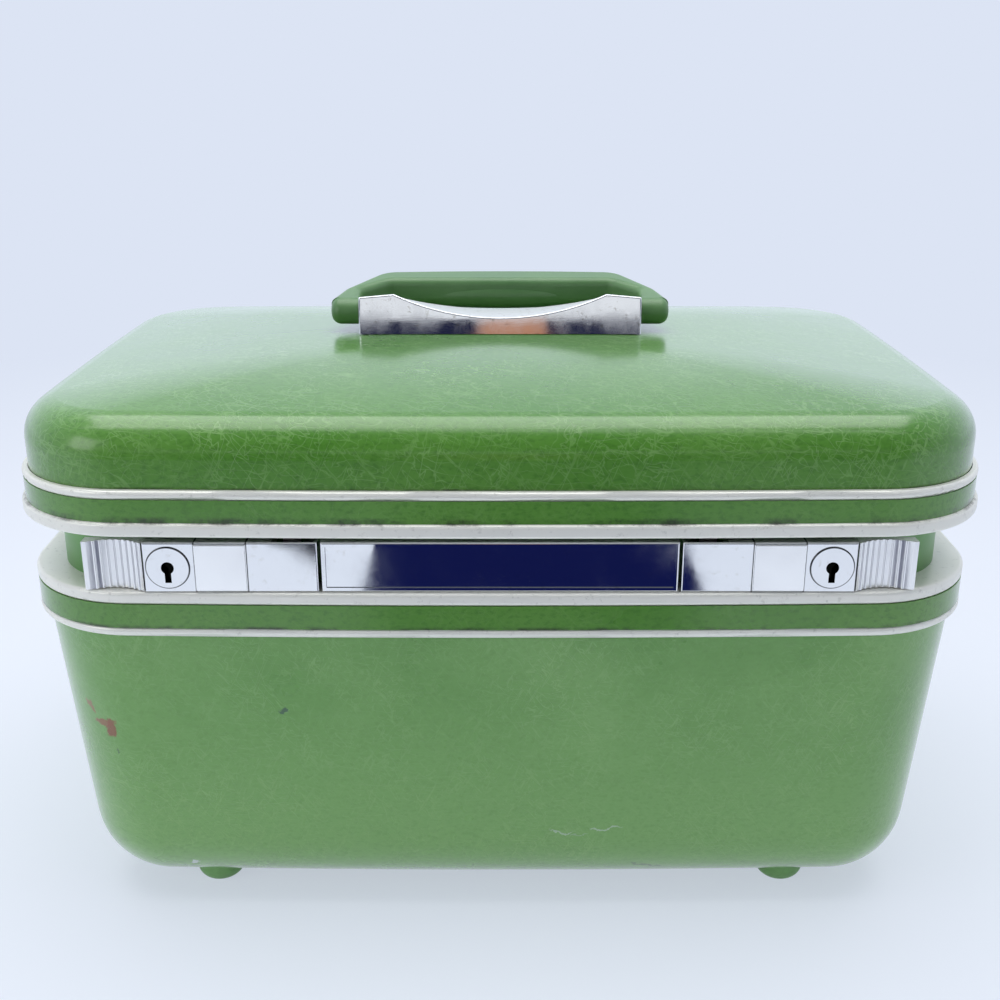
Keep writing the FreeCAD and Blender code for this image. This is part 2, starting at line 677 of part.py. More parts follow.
def make_thumb_slides():
    """Ribbed thumb scoops that slide outwards, each with a bar that runs behind its latch cover."""
    face = size("strip_face")
    start = size("latch_end") + size("slide_gap")
    length = size("scoop_length")
    low = size("strip_bottom") + size("slide_gap")
    tall = size("strip_height") - 2 * size("slide_gap")
    hollow_x = start + size("scoop_depth_share") * length
    inner = Vector(start, face, low)
    deep = Vector(hollow_x, face + size("scoop_hollow"), low)
    lip = Vector(start + length - size("scoop_lip"), face + size("scoop_lip"), low)
    hollow = Part.Arc(inner, deep, lip)
    outer = Vector(start + length, lip.y, low)
    back = face + size("scoop_hollow") + size("scoop_wall") / 2
    edges = [hollow.toShape()]
    chain = [lip, outer, Vector(outer.x, back, low), Vector(start, back, low), inner]
    edges += [Part.makeLine(a, b) for a, b in zip(chain[:-1], chain[1:])]
    scoop = Part.Face(Part.Wire(edges)).extrude(Vector(0, 0, tall))
    count = int(size("rib_count"))
    ribs = []
    for i in range(count):
        margin = size("rib_margin_share")
        share = margin + (1 - 2 * margin) * i / max(count - 1, 1)
        point = hollow.value(hollow.FirstParameter + share * (hollow.LastParameter - hollow.FirstParameter))
        ribs.append(Part.makeCylinder(size("rib_radius"), tall, point))
    bar_x = size("bolt_x")
    bar = Part.makeBox(start + size("slide_link_length") - bar_x, size("slide_bar_thickness"),
                       size("slide_bar_height"), Vector(bar_x, size("bar_front"), size("bar_bottom")))
    slide = scoop.fuse(ribs + [bar]).removeSplitter()
    item = doc.addObject("Part::Feature", "thumb_slide_shape")
    item.Shape = slide
    pair("thumb_slide", item)


def make_latch_bolts():
    """Latch bolts on the slide bars, and the flat wave springs that push them home."""
    bolt = box("bolt_block", "Places.bolt_x", "Places.bar_front", "Places.bar_bottom + Sizes.slide_bar_height",
               "Sizes.bolt_length", "Sizes.slide_bar_thickness", "Sizes.bolt_height")
    pair("latch_bolt", bolt)
    strip = size("spring_strip") / 2
    end_gap = size("spring_end_gap")
    start = size("bolt_x") + size("bolt_length") + end_gap
    length = size("spring_length") - 2 * end_gap
    y = size("bar_front") + size("slide_bar_thickness") / 2
    z = size("bar_bottom") + size("slide_bar_height") + size("slide_gap")
    waves = int(size("spring_waves"))
    upper = []
    lower = []
    for i in range(waves + 1):
        swing = size("spring_wave") / 2 * (-1) ** i
        upper.append(Vector(start + length * i / waves, y + swing + strip, z))
        lower.append(Vector(start + length * i / waves, y + swing - strip, z))
    outline = Part.makePolygon(upper + lower[::-1] + [upper[0]])
    item = doc.addObject("Part::Feature", "spring_shape")
    item.Shape = Part.Face(outline).extrude(Vector(0, 0, size("spring_width")))
    pair("latch_spring", item)


def make_strikes():
    """Strikes that drop from the lid rim behind the latch covers."""
    middle_y = "Places.bar_front + Sizes.slide_bar_thickness / 2"
    blade = box("strike_blade", "Places.strike_x", middle_y + " - Sizes.strike_thickness / 2",
                "Places.rim_bottom - Sizes.strike_drop", "Sizes.strike_width", "Sizes.strike_thickness",
                "Sizes.strike_drop")
    flange = box("strike_flange", "Places.strike_x + Sizes.strike_width / 2 - Sizes.strike_flange_width / 2",
                 middle_y + " - Sizes.strike_flange_depth / 2", "Places.rim_bottom - Sizes.strike_thickness",
                 "Sizes.strike_flange_width", "Sizes.strike_flange_depth", "Sizes.strike_thickness")
    pair("strike", fuse("strike_fuse", [blade, flange]))


def make_hinges():
    """Rear hinges: a leaf on the neck, a leaf under the lid rim and a pin through their knuckles."""
    start = "Sizes.hinge_spread / 2 - Sizes.hinge_width / 2"
    third = "Sizes.hinge_width / 3"
    barrel = "Sizes.hinge_barrel_diameter / 2"
    bore = "Sizes.hinge_pin_diameter / 2 + Sizes.running_clearance"
    leaf_face = "Sizes.case_depth / 2 - Sizes.neck_inset"
    knuckles = []
    for i, offset in enumerate(("0", "2 * " + third)):
        knuckles.append(rod("base_knuckle_%d" % i, "x", start + " + " + offset, "Places.hinge_y",
                            "Places.hinge_z", barrel, third + " - Sizes.knuckle_gap"))
    leaf = box("base_leaf_plate", start, leaf_face, "Places.hinge_z - Sizes.hinge_leaf_height",
               "Sizes.hinge_width - Sizes.knuckle_gap", "Sizes.hinge_leaf_thickness", "Sizes.hinge_leaf_height")
    webs = []
    for i, offset in enumerate(("0", "2 * " + third)):
        webs.append(box("base_web_%d" % i, start + " + " + offset, leaf_face,
                        "Places.hinge_z - Sizes.hinge_barrel_diameter / 2", third + " - Sizes.knuckle_gap",
                        "Places.hinge_y - (%s)" % leaf_face, "Sizes.hinge_barrel_diameter / 2"))
    gap_cut = rod("base_leaf_gap", "x", start + " + " + third + " - Sizes.knuckle_gap", "Places.hinge_y",
                  "Places.hinge_z", barrel + " + Sizes.knuckle_gap", third + " + Sizes.knuckle_gap")
    bore_cut = rod("base_leaf_bore", "x", start + " - 1", "Places.hinge_y", "Places.hinge_z", bore,
                   "Sizes.hinge_width + 2")
    joined = fuse("base_leaf_fuse", knuckles + [leaf] + webs)
    pair("hinge_leaf_base", cut("base_leaf_cut", joined, [gap_cut, bore_cut]))
    leaf = "Sizes.hinge_axis_drop - Sizes.hinge_barrel_diameter / 2"
    barrel_mid = rod("lid_knuckle", "x", start + " + " + third, "Places.hinge_y", "Places.hinge_z", barrel,
                     third + " - Sizes.knuckle_gap")
    riser = box("lid_riser", start + " + " + third, "Places.hinge_y", "Places.hinge_z",
                third + " - Sizes.knuckle_gap", barrel, "Sizes.hinge_axis_drop")
    plate = box("lid_leaf_plate", start, "Places.hinge_y",
                "Places.rim_bottom - (" + leaf + ") + Sizes.knuckle_gap",
                "Sizes.hinge_width - Sizes.knuckle_gap", "Sizes.hinge_leaf_depth", leaf + " - Sizes.knuckle_gap")
    lid_bore = rod("lid_leaf_bore", "x", start, "Places.hinge_y", "Places.hinge_z", bore, "Sizes.hinge_width")
    pair("hinge_leaf_lid", cut("lid_leaf_cut", fuse("lid_leaf_fuse", [barrel_mid, riser, plate]), [lid_bore]))
    pin = rod("hinge_pin_rod", "x", start, "Places.hinge_y", "Places.hinge_z", "Sizes.hinge_pin_diameter / 2",
              "Sizes.hinge_width - Sizes.knuckle_gap")
    pair("hinge_pin", pin)


def stay_points():
    """Pivot on the lid and pin on the base, both one stay radius from the hinge axis."""
    half = math.radians(size("stay_closed_angle") / 2)
    y = size("hinge_y") - size("stay_radius") * math.cos(half)
    rise = size("stay_radius") * math.sin(half)
    return Vector(size("stay_x"), y, size("hinge_z") + rise), Vector(size("stay_x"), y, size("hinge_z") - rise)


def make_stays():
    """Slotted lid stays, the studs they hang from and the pins that run in their slots."""
    lid_point, base_point = stay_points()
    thick = size("stay_thickness")
    half = size("stay_width") / 2
    pin = size("stay_pin_diameter") / 2
    clear = size("stay_slot_clearance")
    bore = pin + size("running_clearance")
    chord = (lid_point - base_point).Length
    slot_start = lid_point - Vector(0, 0, chord - clear)
    slot_end = slot_start - Vector(0, 0, size("stay_slot_length"))
    low = slot_end.z - half
    along = Vector(1, 0, 0)
    plate = Part.makeBox(thick, 2 * half, lid_point.z - low, Vector(lid_point.x, lid_point.y - half, low))
    arm = plate.fuse(Part.makeCylinder(half, thick, lid_point, along))
    arm = arm.cut(Part.makeCylinder(bore, 3 * thick, lid_point - along * thick, along))
    slot = Part.makeBox(3 * thick, 2 * (pin + clear), slot_start.z - slot_end.z,
                        Vector(lid_point.x - thick, lid_point.y - pin - clear, slot_end.z))
    ends = [Part.makeCylinder(pin + clear, 3 * thick, point - along * thick, along)
            for point in (slot_start, slot_end)]
    item = doc.addObject("Part::Feature", "stay_shape")
    item.Shape = arm.cut(slot.fuse(ends)).removeSplitter()
    pair("stay_arm", item)
    head = size("stud_head_diameter") / 2
    cap = size("stud_head_thickness")
    gap = size("slide_gap")
    lid_wall = size("case_width") / 2 - size("lid_wall_inset") - size("shell_wall") - size("lining_gap")
    lid_wall -= size("lining_thickness") + size("stud_wall_gap")
    neck_wall = size("case_width") / 2 - size("frame_inset") - size("stud_wall_gap")
    for label, point, wall in (("stay_stud", lid_point, lid_wall), ("stay_pin", base_point, neck_wall)):
        start = point - along * (gap + cap)
        stud = Part.makeCylinder(pin, wall - start.x, start, along)
        stud = stud.fuse(Part.makeCylinder(head, cap, start, along))
        shoulder = point + along * (thick + gap)
        stud = stud.fuse(Part.makeCylinder(pin + size("stud_shoulder"), wall - shoulder.x, shoulder, along))
        holder = doc.addObject("Part::Feature", label + "_shape")
        holder.Shape = stud.removeSplitter()
        pair(label, holder)


def rounded_block(width, depth, height, corner, low):
    """Block with round upright corners, centred in plan."""
    block = Part.makeBox(width, depth, height, Vector(-width / 2, -depth / 2, low))
    upright = [e for e in block.Edges if abs(e.BoundBox.ZLength - height) < 1e-4]
    return block.makeFillet(corner, upright)


def make_mirror():
    """Mirror under the lid lining, held by a rebated frame."""
    ceiling = size("lid_ceiling") - size("backing_plate_thickness") - size("rivet_head_height")
    ceiling -= size("lining_gap") + size("lining_thickness")
    width = size("mirror_width")
    depth = size("mirror_depth")
    thick = size("mirror_thickness")
    corner = size("mirror_corner")
    glass = rounded_block(width, depth, thick, corner, ceiling - thick)
    solid("mirror", glass)
    edge = size("mirror_frame_width")
    deep = size("mirror_frame_thickness")
    lip = size("mirror_rebate")
    frame = rounded_block(width + 2 * edge, depth + 2 * edge, deep, corner + edge, ceiling - deep)
    frame = fillet_at(frame, size("rim_round"), (ceiling - deep,))
    frame = frame.cut(rounded_block(width, depth, thick, corner, ceiling - thick))
    frame = frame.cut(rounded_block(width - 2 * lip, depth - 2 * lip, deep, corner - lip, ceiling - deep))
    solid("mirror_frame", frame)


def make_tray():
    """Lift-out tray with one long and two short wells, and the rails that carry its rim."""
    top = size("tray_top")
    wall = size("tray_wall")
    length = size("tray_length")
    depth = size("tray_depth")
    tall = size("tray_height")
    flange = size("tray_flange")
    corner = size("tray_corner")
    body = rounded_block(length - 2 * flange, depth - 2 * flange, tall, corner - flange, top - tall)
    rim = rounded_block(length, depth, wall, corner, top - wall)
    tray = body.fuse(rim)
    inside_x = length / 2 - flange - wall
    inside_y = depth / 2 - flange - wall
    split = size("tray_cell") - inside_y
    cells = [
        (-inside_x, -inside_y, 2 * inside_x, size("tray_cell") - wall),
        (-inside_x, split, inside_x - wall / 2, inside_y - split),
        (wall / 2, split, inside_x - wall / 2, inside_y - split),
    ]
    for x, y, wide, deep in cells:
        well = Part.makeBox(wide, deep, tall, Vector(x, y, top - tall + wall))
        upright = [e for e in well.Edges if abs(e.BoundBox.ZLength - tall) < 1e-4]
        tray = tray.cut(well.makeFillet(corner - flange - wall, upright))
    solid("tray", tray.removeSplitter())
    rail_top = top - wall - size("tray_seat_gap")
    draw = math.tan(math.radians(size("base_taper_deg"))) * (size("ledge_bottom") - rail_top)
    inset = size("base_wall_inset") + size("shell_wall") + size("lining_gap") + size("lining_thickness") + draw
    tall = size("ledge_rail_height")
    low_draw = math.tan(math.radians(size("base_taper_deg"))) * tall
    reach = depth / 2 - flange + size("slide_gap")
    for label, side in (("tray_rail_front", -1), ("tray_rail_back", 1)):
        near = min(side * reach, side * (reach + size("case_depth")))
        corner = Vector(-size("ledge_rail_length") / 2, near, rail_top - tall)
        strip = Part.makeBox(size("ledge_rail_length"), size("case_depth"), tall, corner)
        solid(label, strip.common(prism(inset + low_draw, rail_top - tall, rail_top)))


def bracket_outline(y, low, end_height, lean_deg):
    """Front or back outline of the handle bracket: raised ends with a scoop between them."""
    half = size("bracket_length") / 2
    corner_z = low + end_height
    shoulder = half - size("bracket_shoulder")
    shoulder_z = corner_z + size("bracket_shoulder_rise")
    mid_top = low + size("bracket_mid_height")
    lean = math.tan(math.radians(lean_deg))
    corners = [(-shoulder, shoulder_z), (-half, corner_z), (-half, low), (half, low), (half, corner_z),
               (shoulder, shoulder_z), (0, mid_top)]
    points = [Vector(x, y + lean * (z - low), z) for x, z in corners]
    middle = points.pop()
    scoop = Part.Arc(points[-1], middle, points[0])
    return Part.Wire([Part.makeLine(a, b) for a, b in zip(points[:-1], points[1:])] + [scoop.toShape()])


def make_handle():
    """Bright scooped bracket on the lid, its rivets and backing plate, and the bail that swings on it."""
    half = size("bracket_length") / 2
    depth = size("bracket_depth")
    low = size("bracket_bottom")
    front = bracket_outline(-depth / 2, low, size("bracket_end_height"), size("bracket_front_lean_deg"))
    back = bracket_outline(depth / 2, low, size("bracket_end_height") - size("bracket_back_drop"), 0.0)
    bracket = Part.makeLoft([front, back], True, True)
    bracket = bracket.makeFillet(size("bracket_edge_round"),
                                 [e for e in bracket.Edges if e.BoundBox.ZMax > low + 1e-4])
    pin_radius = size("handle_pin_diameter") / 2
    pivot = size("pivot_z")
    along = Vector(1, 0, 0)
    tip_start = half + size("handle_side_gap")
    pins = []
    for side in (-1, 1):
        start = Vector(side * (half - size("handle_pin_grip")), 0, pivot)
        reach = size("handle_pin_grip") + size("handle_side_gap") + size("handle_arm_width")
        reach -= size("handle_pin_cover")
        pins.append(Part.makeCylinder(pin_radius, reach, start, along * side))
    for pin in pins:
        bracket = bracket.cut(pin)
    plate_low = size("lid_ceiling") - size("backing_plate_thickness")
    rivet_radius = size("bracket_rivet_diameter") / 2
    plate = Part.makeBox(size("backing_plate_length"), size("backing_plate_depth"),
                         size("backing_plate_thickness"),
                         Vector(-size("backing_plate_length") / 2, -size("backing_plate_depth") / 2, plate_low))
    rivets = []
    sink = size("bracket_rivet_sink")
    for spot in rivet_spots(plate_low):
        tall = low + sink - plate_low
        shank = Part.makeCylinder(rivet_radius, tall, spot)
        bracket = bracket.cut(shank)
        plate = plate.cut(shank)
        head = Part.makeCylinder(2 * rivet_radius, size("rivet_head_height"),
                                 spot - Vector(0, 0, size("rivet_head_height")))
        rivets.append(shank.fuse(head).removeSplitter())
    solid("handle_bracket", bracket)
    solid("handle_pins", Part.makeCompound(pins))
    solid("handle_backing_plate", plate)
    solid("handle_rivets", Part.makeCompound(rivets))
    make_bail(tip_start, pivot)


def upright_at(x, y):
    """Test for an edge that stands upright at a place and its mirror image."""
    return lambda e: (abs(abs(e.BoundBox.XMin) - x) < 1e-3 and abs(e.BoundBox.YMin - y) < 1e-3
                      and e.BoundBox.XLength < 1e-3 and e.BoundBox.YLength < 1e-3)


def make_bail(tip_start, pivot):
    """Moulded bail: rounded tips on the pins, arms that lean in past the bracket and a bowed grip."""
    thick = size("handle_thickness")
    arm = size("handle_arm_width")
    reach = size("handle_reach")
    inner_reach = reach - size("handle_grip_width")
    grip_end = reach - size("handle_grip_bow")
    inner_x = size("handle_opening_length") / 2
    grip_x = size("handle_grip_length") / 2
    straight = size("handle_arm_straight")
    low = -thick / 2
    chain = [Vector(inner_x, inner_reach, low), Vector(tip_start, straight, low),
             Vector(tip_start, 0, low), Vector(tip_start + arm, 0, low),
             Vector(tip_start + size("handle_arm_neck"), straight, low), Vector(grip_x, grip_end, low)]
    right = [Part.makeLine(a, b) for a, b in zip(chain[:-1], chain[1:])]
    left = [edge.mirror(Vector(), Vector(1, 0, 0)) for edge in right]
    grip_back = Part.Arc(Vector(grip_x, grip_end, low), Vector(0, reach, low), Vector(-grip_x, grip_end, low))
    grip_front = Part.makeLine(Vector(-inner_x, inner_reach, low), Vector(inner_x, inner_reach, low))
    outline = Part.Wire(Part.__sortEdges__(right + left + [grip_back.toShape(), grip_front]))
    bail = Part.Face(outline).extrude(Vector(0, 0, thick))
    corners = [(grip_x, grip_end, "handle_shoulder_radius"), (inner_x, inner_reach, "handle_inner_radius"),
               (tip_start, straight, "handle_inner_radius"),
               (tip_start + size("handle_arm_neck"), straight, "handle_shoulder_radius")]
    for x, y, radius in corners:
        at_corner = upright_at(x, y)
        bail = bail.makeFillet(size(radius), [e for e in bail.Edges if at_corner(e)])
    broad = [e for e in bail.Edges if (flat_at(low)(e) or flat_at(-low)(e)) and e.BoundBox.YMax > 1e-4]
    bail = bail.makeFillet(size("handle_edge_round"), broad)
    stretch = FreeCAD.Matrix()
    stretch.scale(size("handle_swell_length") / 2, size("handle_swell_width") / 2, size("handle_swell_height") / 2)
    swell = Part.makeSphere(1.0).transformGeometry(stretch)
    swell.translate(Vector(0, reach - size("handle_grip_width") / 2, -size("handle_swell_drop")))
    bail = bail.fuse(swell)
    tip_radius = size("handle_tip_diameter") / 2
    bore = size("handle_pin_diameter") / 2 + size("running_clearance")
    along = Vector(1, 0, 0)
    for side in (-1, 1):
        start = Vector(side * tip_start, 0, 0)
        tip = Part.makeCylinder(tip_radius, arm, start, along * side)
        tip = tip.makeFillet(size("handle_tip_round"),
                             [e for e in tip.Edges if abs(abs(e.BoundBox.XMin) - tip_start - arm) < 1e-4
                              and e.BoundBox.XLength < 1e-4])
        bail = bail.fuse(tip)
    for side in (-1, 1):
        start = Vector(side * (tip_start - 1), 0, 0)
        bail = bail.cut(Part.makeCylinder(bore, arm, start, along * side))
    bail = bail.removeSplitter()
    item = solid("handle_bail", bail)
    item.Placement = Placement(Vector(0, 0, pivot), Rotation(Vector(1, 0, 0), size("handle_rest_angle")))


def make_all():
    """Every sub-part of the case, from the floor up."""
    make_base_shell()
    make_base_lining()
    make_base_frame()
    make_feet()
    make_centre_plate()
    make_latch_plates()
    make_satin_pads()
    make_locks()
    make_thumb_slides()
    make_latch_bolts()
    make_strikes()
    make_hinges()
    make_stays()
    make_lid_frame()
    make_lid_shell()
    make_lid_lining()
    make_mirror()
    make_tray()
    make_handle()


def write_parts():
    """Check every object, then write one file per sub-part."""
    doc.recompute()
    failed = [item.Name for item in doc.Objects if "Invalid" in item.State or "Error" in item.State]
    for label, item in nodes.items():
        shape = item.Shape
        if shape.isNull() or not shape.isValid() or not shape.Solids:
            failed.append(label)
    if failed:
        raise RuntimeError("failed pieces: " + ", ".join(failed))
    os.makedirs("parts", exist_ok=True)
    for label, item in nodes.items():
        item.Shape.exportStep("parts/%s.step" % label)
        print("%-24s %d solids %10.1f mm3" % (label, len(item.Shape.Solids), item.Shape.Volume))


make_all()
write_parts()
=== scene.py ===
"""Makeup train case: finishes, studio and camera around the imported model.

Front is -Y, up is +Z.  Lengths are in metres, or in millimetres where a name ends in _mm.
"""

import logging
import math
from dataclasses import dataclass
from enum import Enum
from typing import Any, Iterable, Optional

import bpy
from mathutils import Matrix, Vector


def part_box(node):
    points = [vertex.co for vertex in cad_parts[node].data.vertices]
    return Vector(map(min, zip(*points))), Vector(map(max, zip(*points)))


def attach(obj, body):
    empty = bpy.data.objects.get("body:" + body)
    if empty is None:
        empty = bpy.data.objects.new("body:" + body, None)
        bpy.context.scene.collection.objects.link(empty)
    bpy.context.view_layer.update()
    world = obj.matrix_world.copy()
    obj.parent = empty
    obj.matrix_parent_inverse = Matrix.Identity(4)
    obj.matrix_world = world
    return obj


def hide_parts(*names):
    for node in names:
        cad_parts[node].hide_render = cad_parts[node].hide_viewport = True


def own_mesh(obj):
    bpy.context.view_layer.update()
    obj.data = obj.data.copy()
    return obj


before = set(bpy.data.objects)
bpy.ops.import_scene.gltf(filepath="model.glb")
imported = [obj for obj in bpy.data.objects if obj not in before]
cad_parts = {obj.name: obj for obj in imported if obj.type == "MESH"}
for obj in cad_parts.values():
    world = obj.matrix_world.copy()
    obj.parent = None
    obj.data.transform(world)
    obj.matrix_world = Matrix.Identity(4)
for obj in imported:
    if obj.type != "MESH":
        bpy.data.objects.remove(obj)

LOG = logging.getLogger("train_case")
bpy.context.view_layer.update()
MM = 0.001
# Dirt along an edge: size of its clumps, the noise at which they start and are full, and how dark that is
CRUST_MM = 22.0
CRUST_FROM, CRUST_FULL = 0.47, 0.62
CRUST_LEAST, CRUST_MOST = 0.05, 0.8
# Shares of a line's half height at which it is full and gone
LINE_FULL, LINE_GONE = 0.4, 1.4
CHROME = "#eceef0"
CHROME_STAIN = "#b5b3a8"
Outline = tuple[tuple[float, float, float], ...]


class Direction(Enum):
    """Way in which a drawn or brushed metal was worked: its lines run along this axis."""

    ALONG_X = (9.0, 1.0, 1.0)
    ALONG_Z = (1.0, 1.0, 9.0)
    EVEN = (1.0, 1.0, 1.0)


def linear(hex_colour: str) -> tuple[float, float, float, float]:
    """Turn an sRGB hex colour into linear RGBA.

    Args:
        hex_colour: Six hex digits after a hash sign.

    Returns:
        Linear red, green, blue and an alpha of one.
    """
    digits = hex_colour.lstrip("#")
    parts = [int(digits[i:i + 2], 16) / 255 for i in (0, 2, 4)]
    r, g, b = [c / 12.92 if c <= 0.04045 else ((c + 0.055) / 1.055) ** 2.4 for c in parts]
    return (r, g, b, 1.0)


def per_metre(size_mm: float) -> float:
    """Texture scale at which one pattern cell has the given size in millimetres."""
    return 1.0 / (size_mm * MM)


def add(tree: bpy.types.NodeTree, kind: str, settings: Optional[dict[str, Any]] = None,
        inputs: Optional[dict[Any, Any]] = None) -> bpy.types.Node:
    """Add one node with its settings, values and links.

    Args:
        tree: Tree that takes the node.
        kind: Blender's node type.
        settings: Properties of the node itself.
        inputs: Socket name or index to a value, or to another node's output socket.

    Returns:
        The new node.
    """
    node = tree.nodes.new(kind)
    for name, value in (settings or {}).items():
        setattr(node, name, value)
    for key, value in (inputs or {}).items():
        if isinstance(value, bpy.types.NodeSocket):
            tree.links.new(value, node.inputs[key])
        else:
            node.inputs[key].default_value = value
    return node


def new_material(name: str) -> bpy.types.Material:
    """Make a material with an empty node tree.

    Args:
        name: Name of the finish.

    Returns:
        The material.
    """
    material = bpy.data.materials.new(name)
    material.use_nodes = True
    material.node_tree.nodes.clear()
    return material


@dataclass(frozen=True)
class Mark:
    """A mark of use: an uneven spot of another colour at a place on the case."""

    place_mm: tuple[float, float, float]
    radii_mm: tuple[float, float, float]
    tone: str
    strength: float = 0.8
    turn_deg: float = 0.0
    soft_from: float = 0.75


@dataclass(frozen=True)
class DirtAndShadeLine:
    """A level at which dirt has gathered beside a metal edge, or, drawn unbroken, a painted shade line along
    the edge of a raised piece.
    """

    level: float
    half_height: float = 0.9 * MM
    tone: str = "#1d1c10"
    axis: str = "Z"
    broken: bool = True


@dataclass(frozen=True)
class PaintedShadeRing:
    """Painted shade of the gap round a turned piece, seen from the front."""

    centre: tuple[float, float, float]
    radius: float
    half_width: float = 0.28 * MM
    tone: str = "#22242a"
    strength: float = 0.9


def lay_dirt_and_shade(tree: bpy.types.NodeTree, place: bpy.types.NodeSocket, colour: bpy.types.NodeSocket,
              lines: Iterable[DirtAndShadeLine]) -> bpy.types.NodeSocket:
    """Darken lines of dirt, and lines of painted shade along the edges of raised pieces.

    Args:
        tree: Tree of the finish.
        place: Object coordinates.
        colour: Colour underneath.
        lines: The lines to draw.

    Returns:
        The colour with its lines.
    """
    parts = add(tree, "ShaderNodeSeparateXYZ", None, {0: place}).outputs
    crust = add(tree, "ShaderNodeTexNoise", None, {
        "Vector": place, "Scale": per_metre(CRUST_MM), "Detail": 9.0, "Roughness": 0.78}).outputs["Fac"]
    amount = add(tree, "ShaderNodeMapRange", None, {
        0: crust, 1: CRUST_FROM, 2: CRUST_FULL, 3: CRUST_LEAST, 4: CRUST_MOST}).outputs[0]
    for line in lines:
        off = add(tree, "ShaderNodeMath", {"operation": "SUBTRACT"}, {
            0: parts[line.axis], 1: line.level}).outputs[0]
        away = add(tree, "ShaderNodeMath", {"operation": "ABSOLUTE"}, {0: off}).outputs[0]
        near = add(tree, "ShaderNodeMapRange", None, {
            0: away, 1: LINE_FULL * line.half_height, 2: LINE_GONE * line.half_height,
            3: 1.0, 4: 0.0}).outputs[0]
        dirt = add(tree, "ShaderNodeMath", {"operation": "MULTIPLY"}, {
            0: near, 1: amount if line.broken else 1.0}).outputs[0]
        colour = add(tree, "ShaderNodeMix", {"data_type": "RGBA"}, {
            0: dirt, 6: colour, 7: linear(line.tone)}).outputs[2]
    return colour


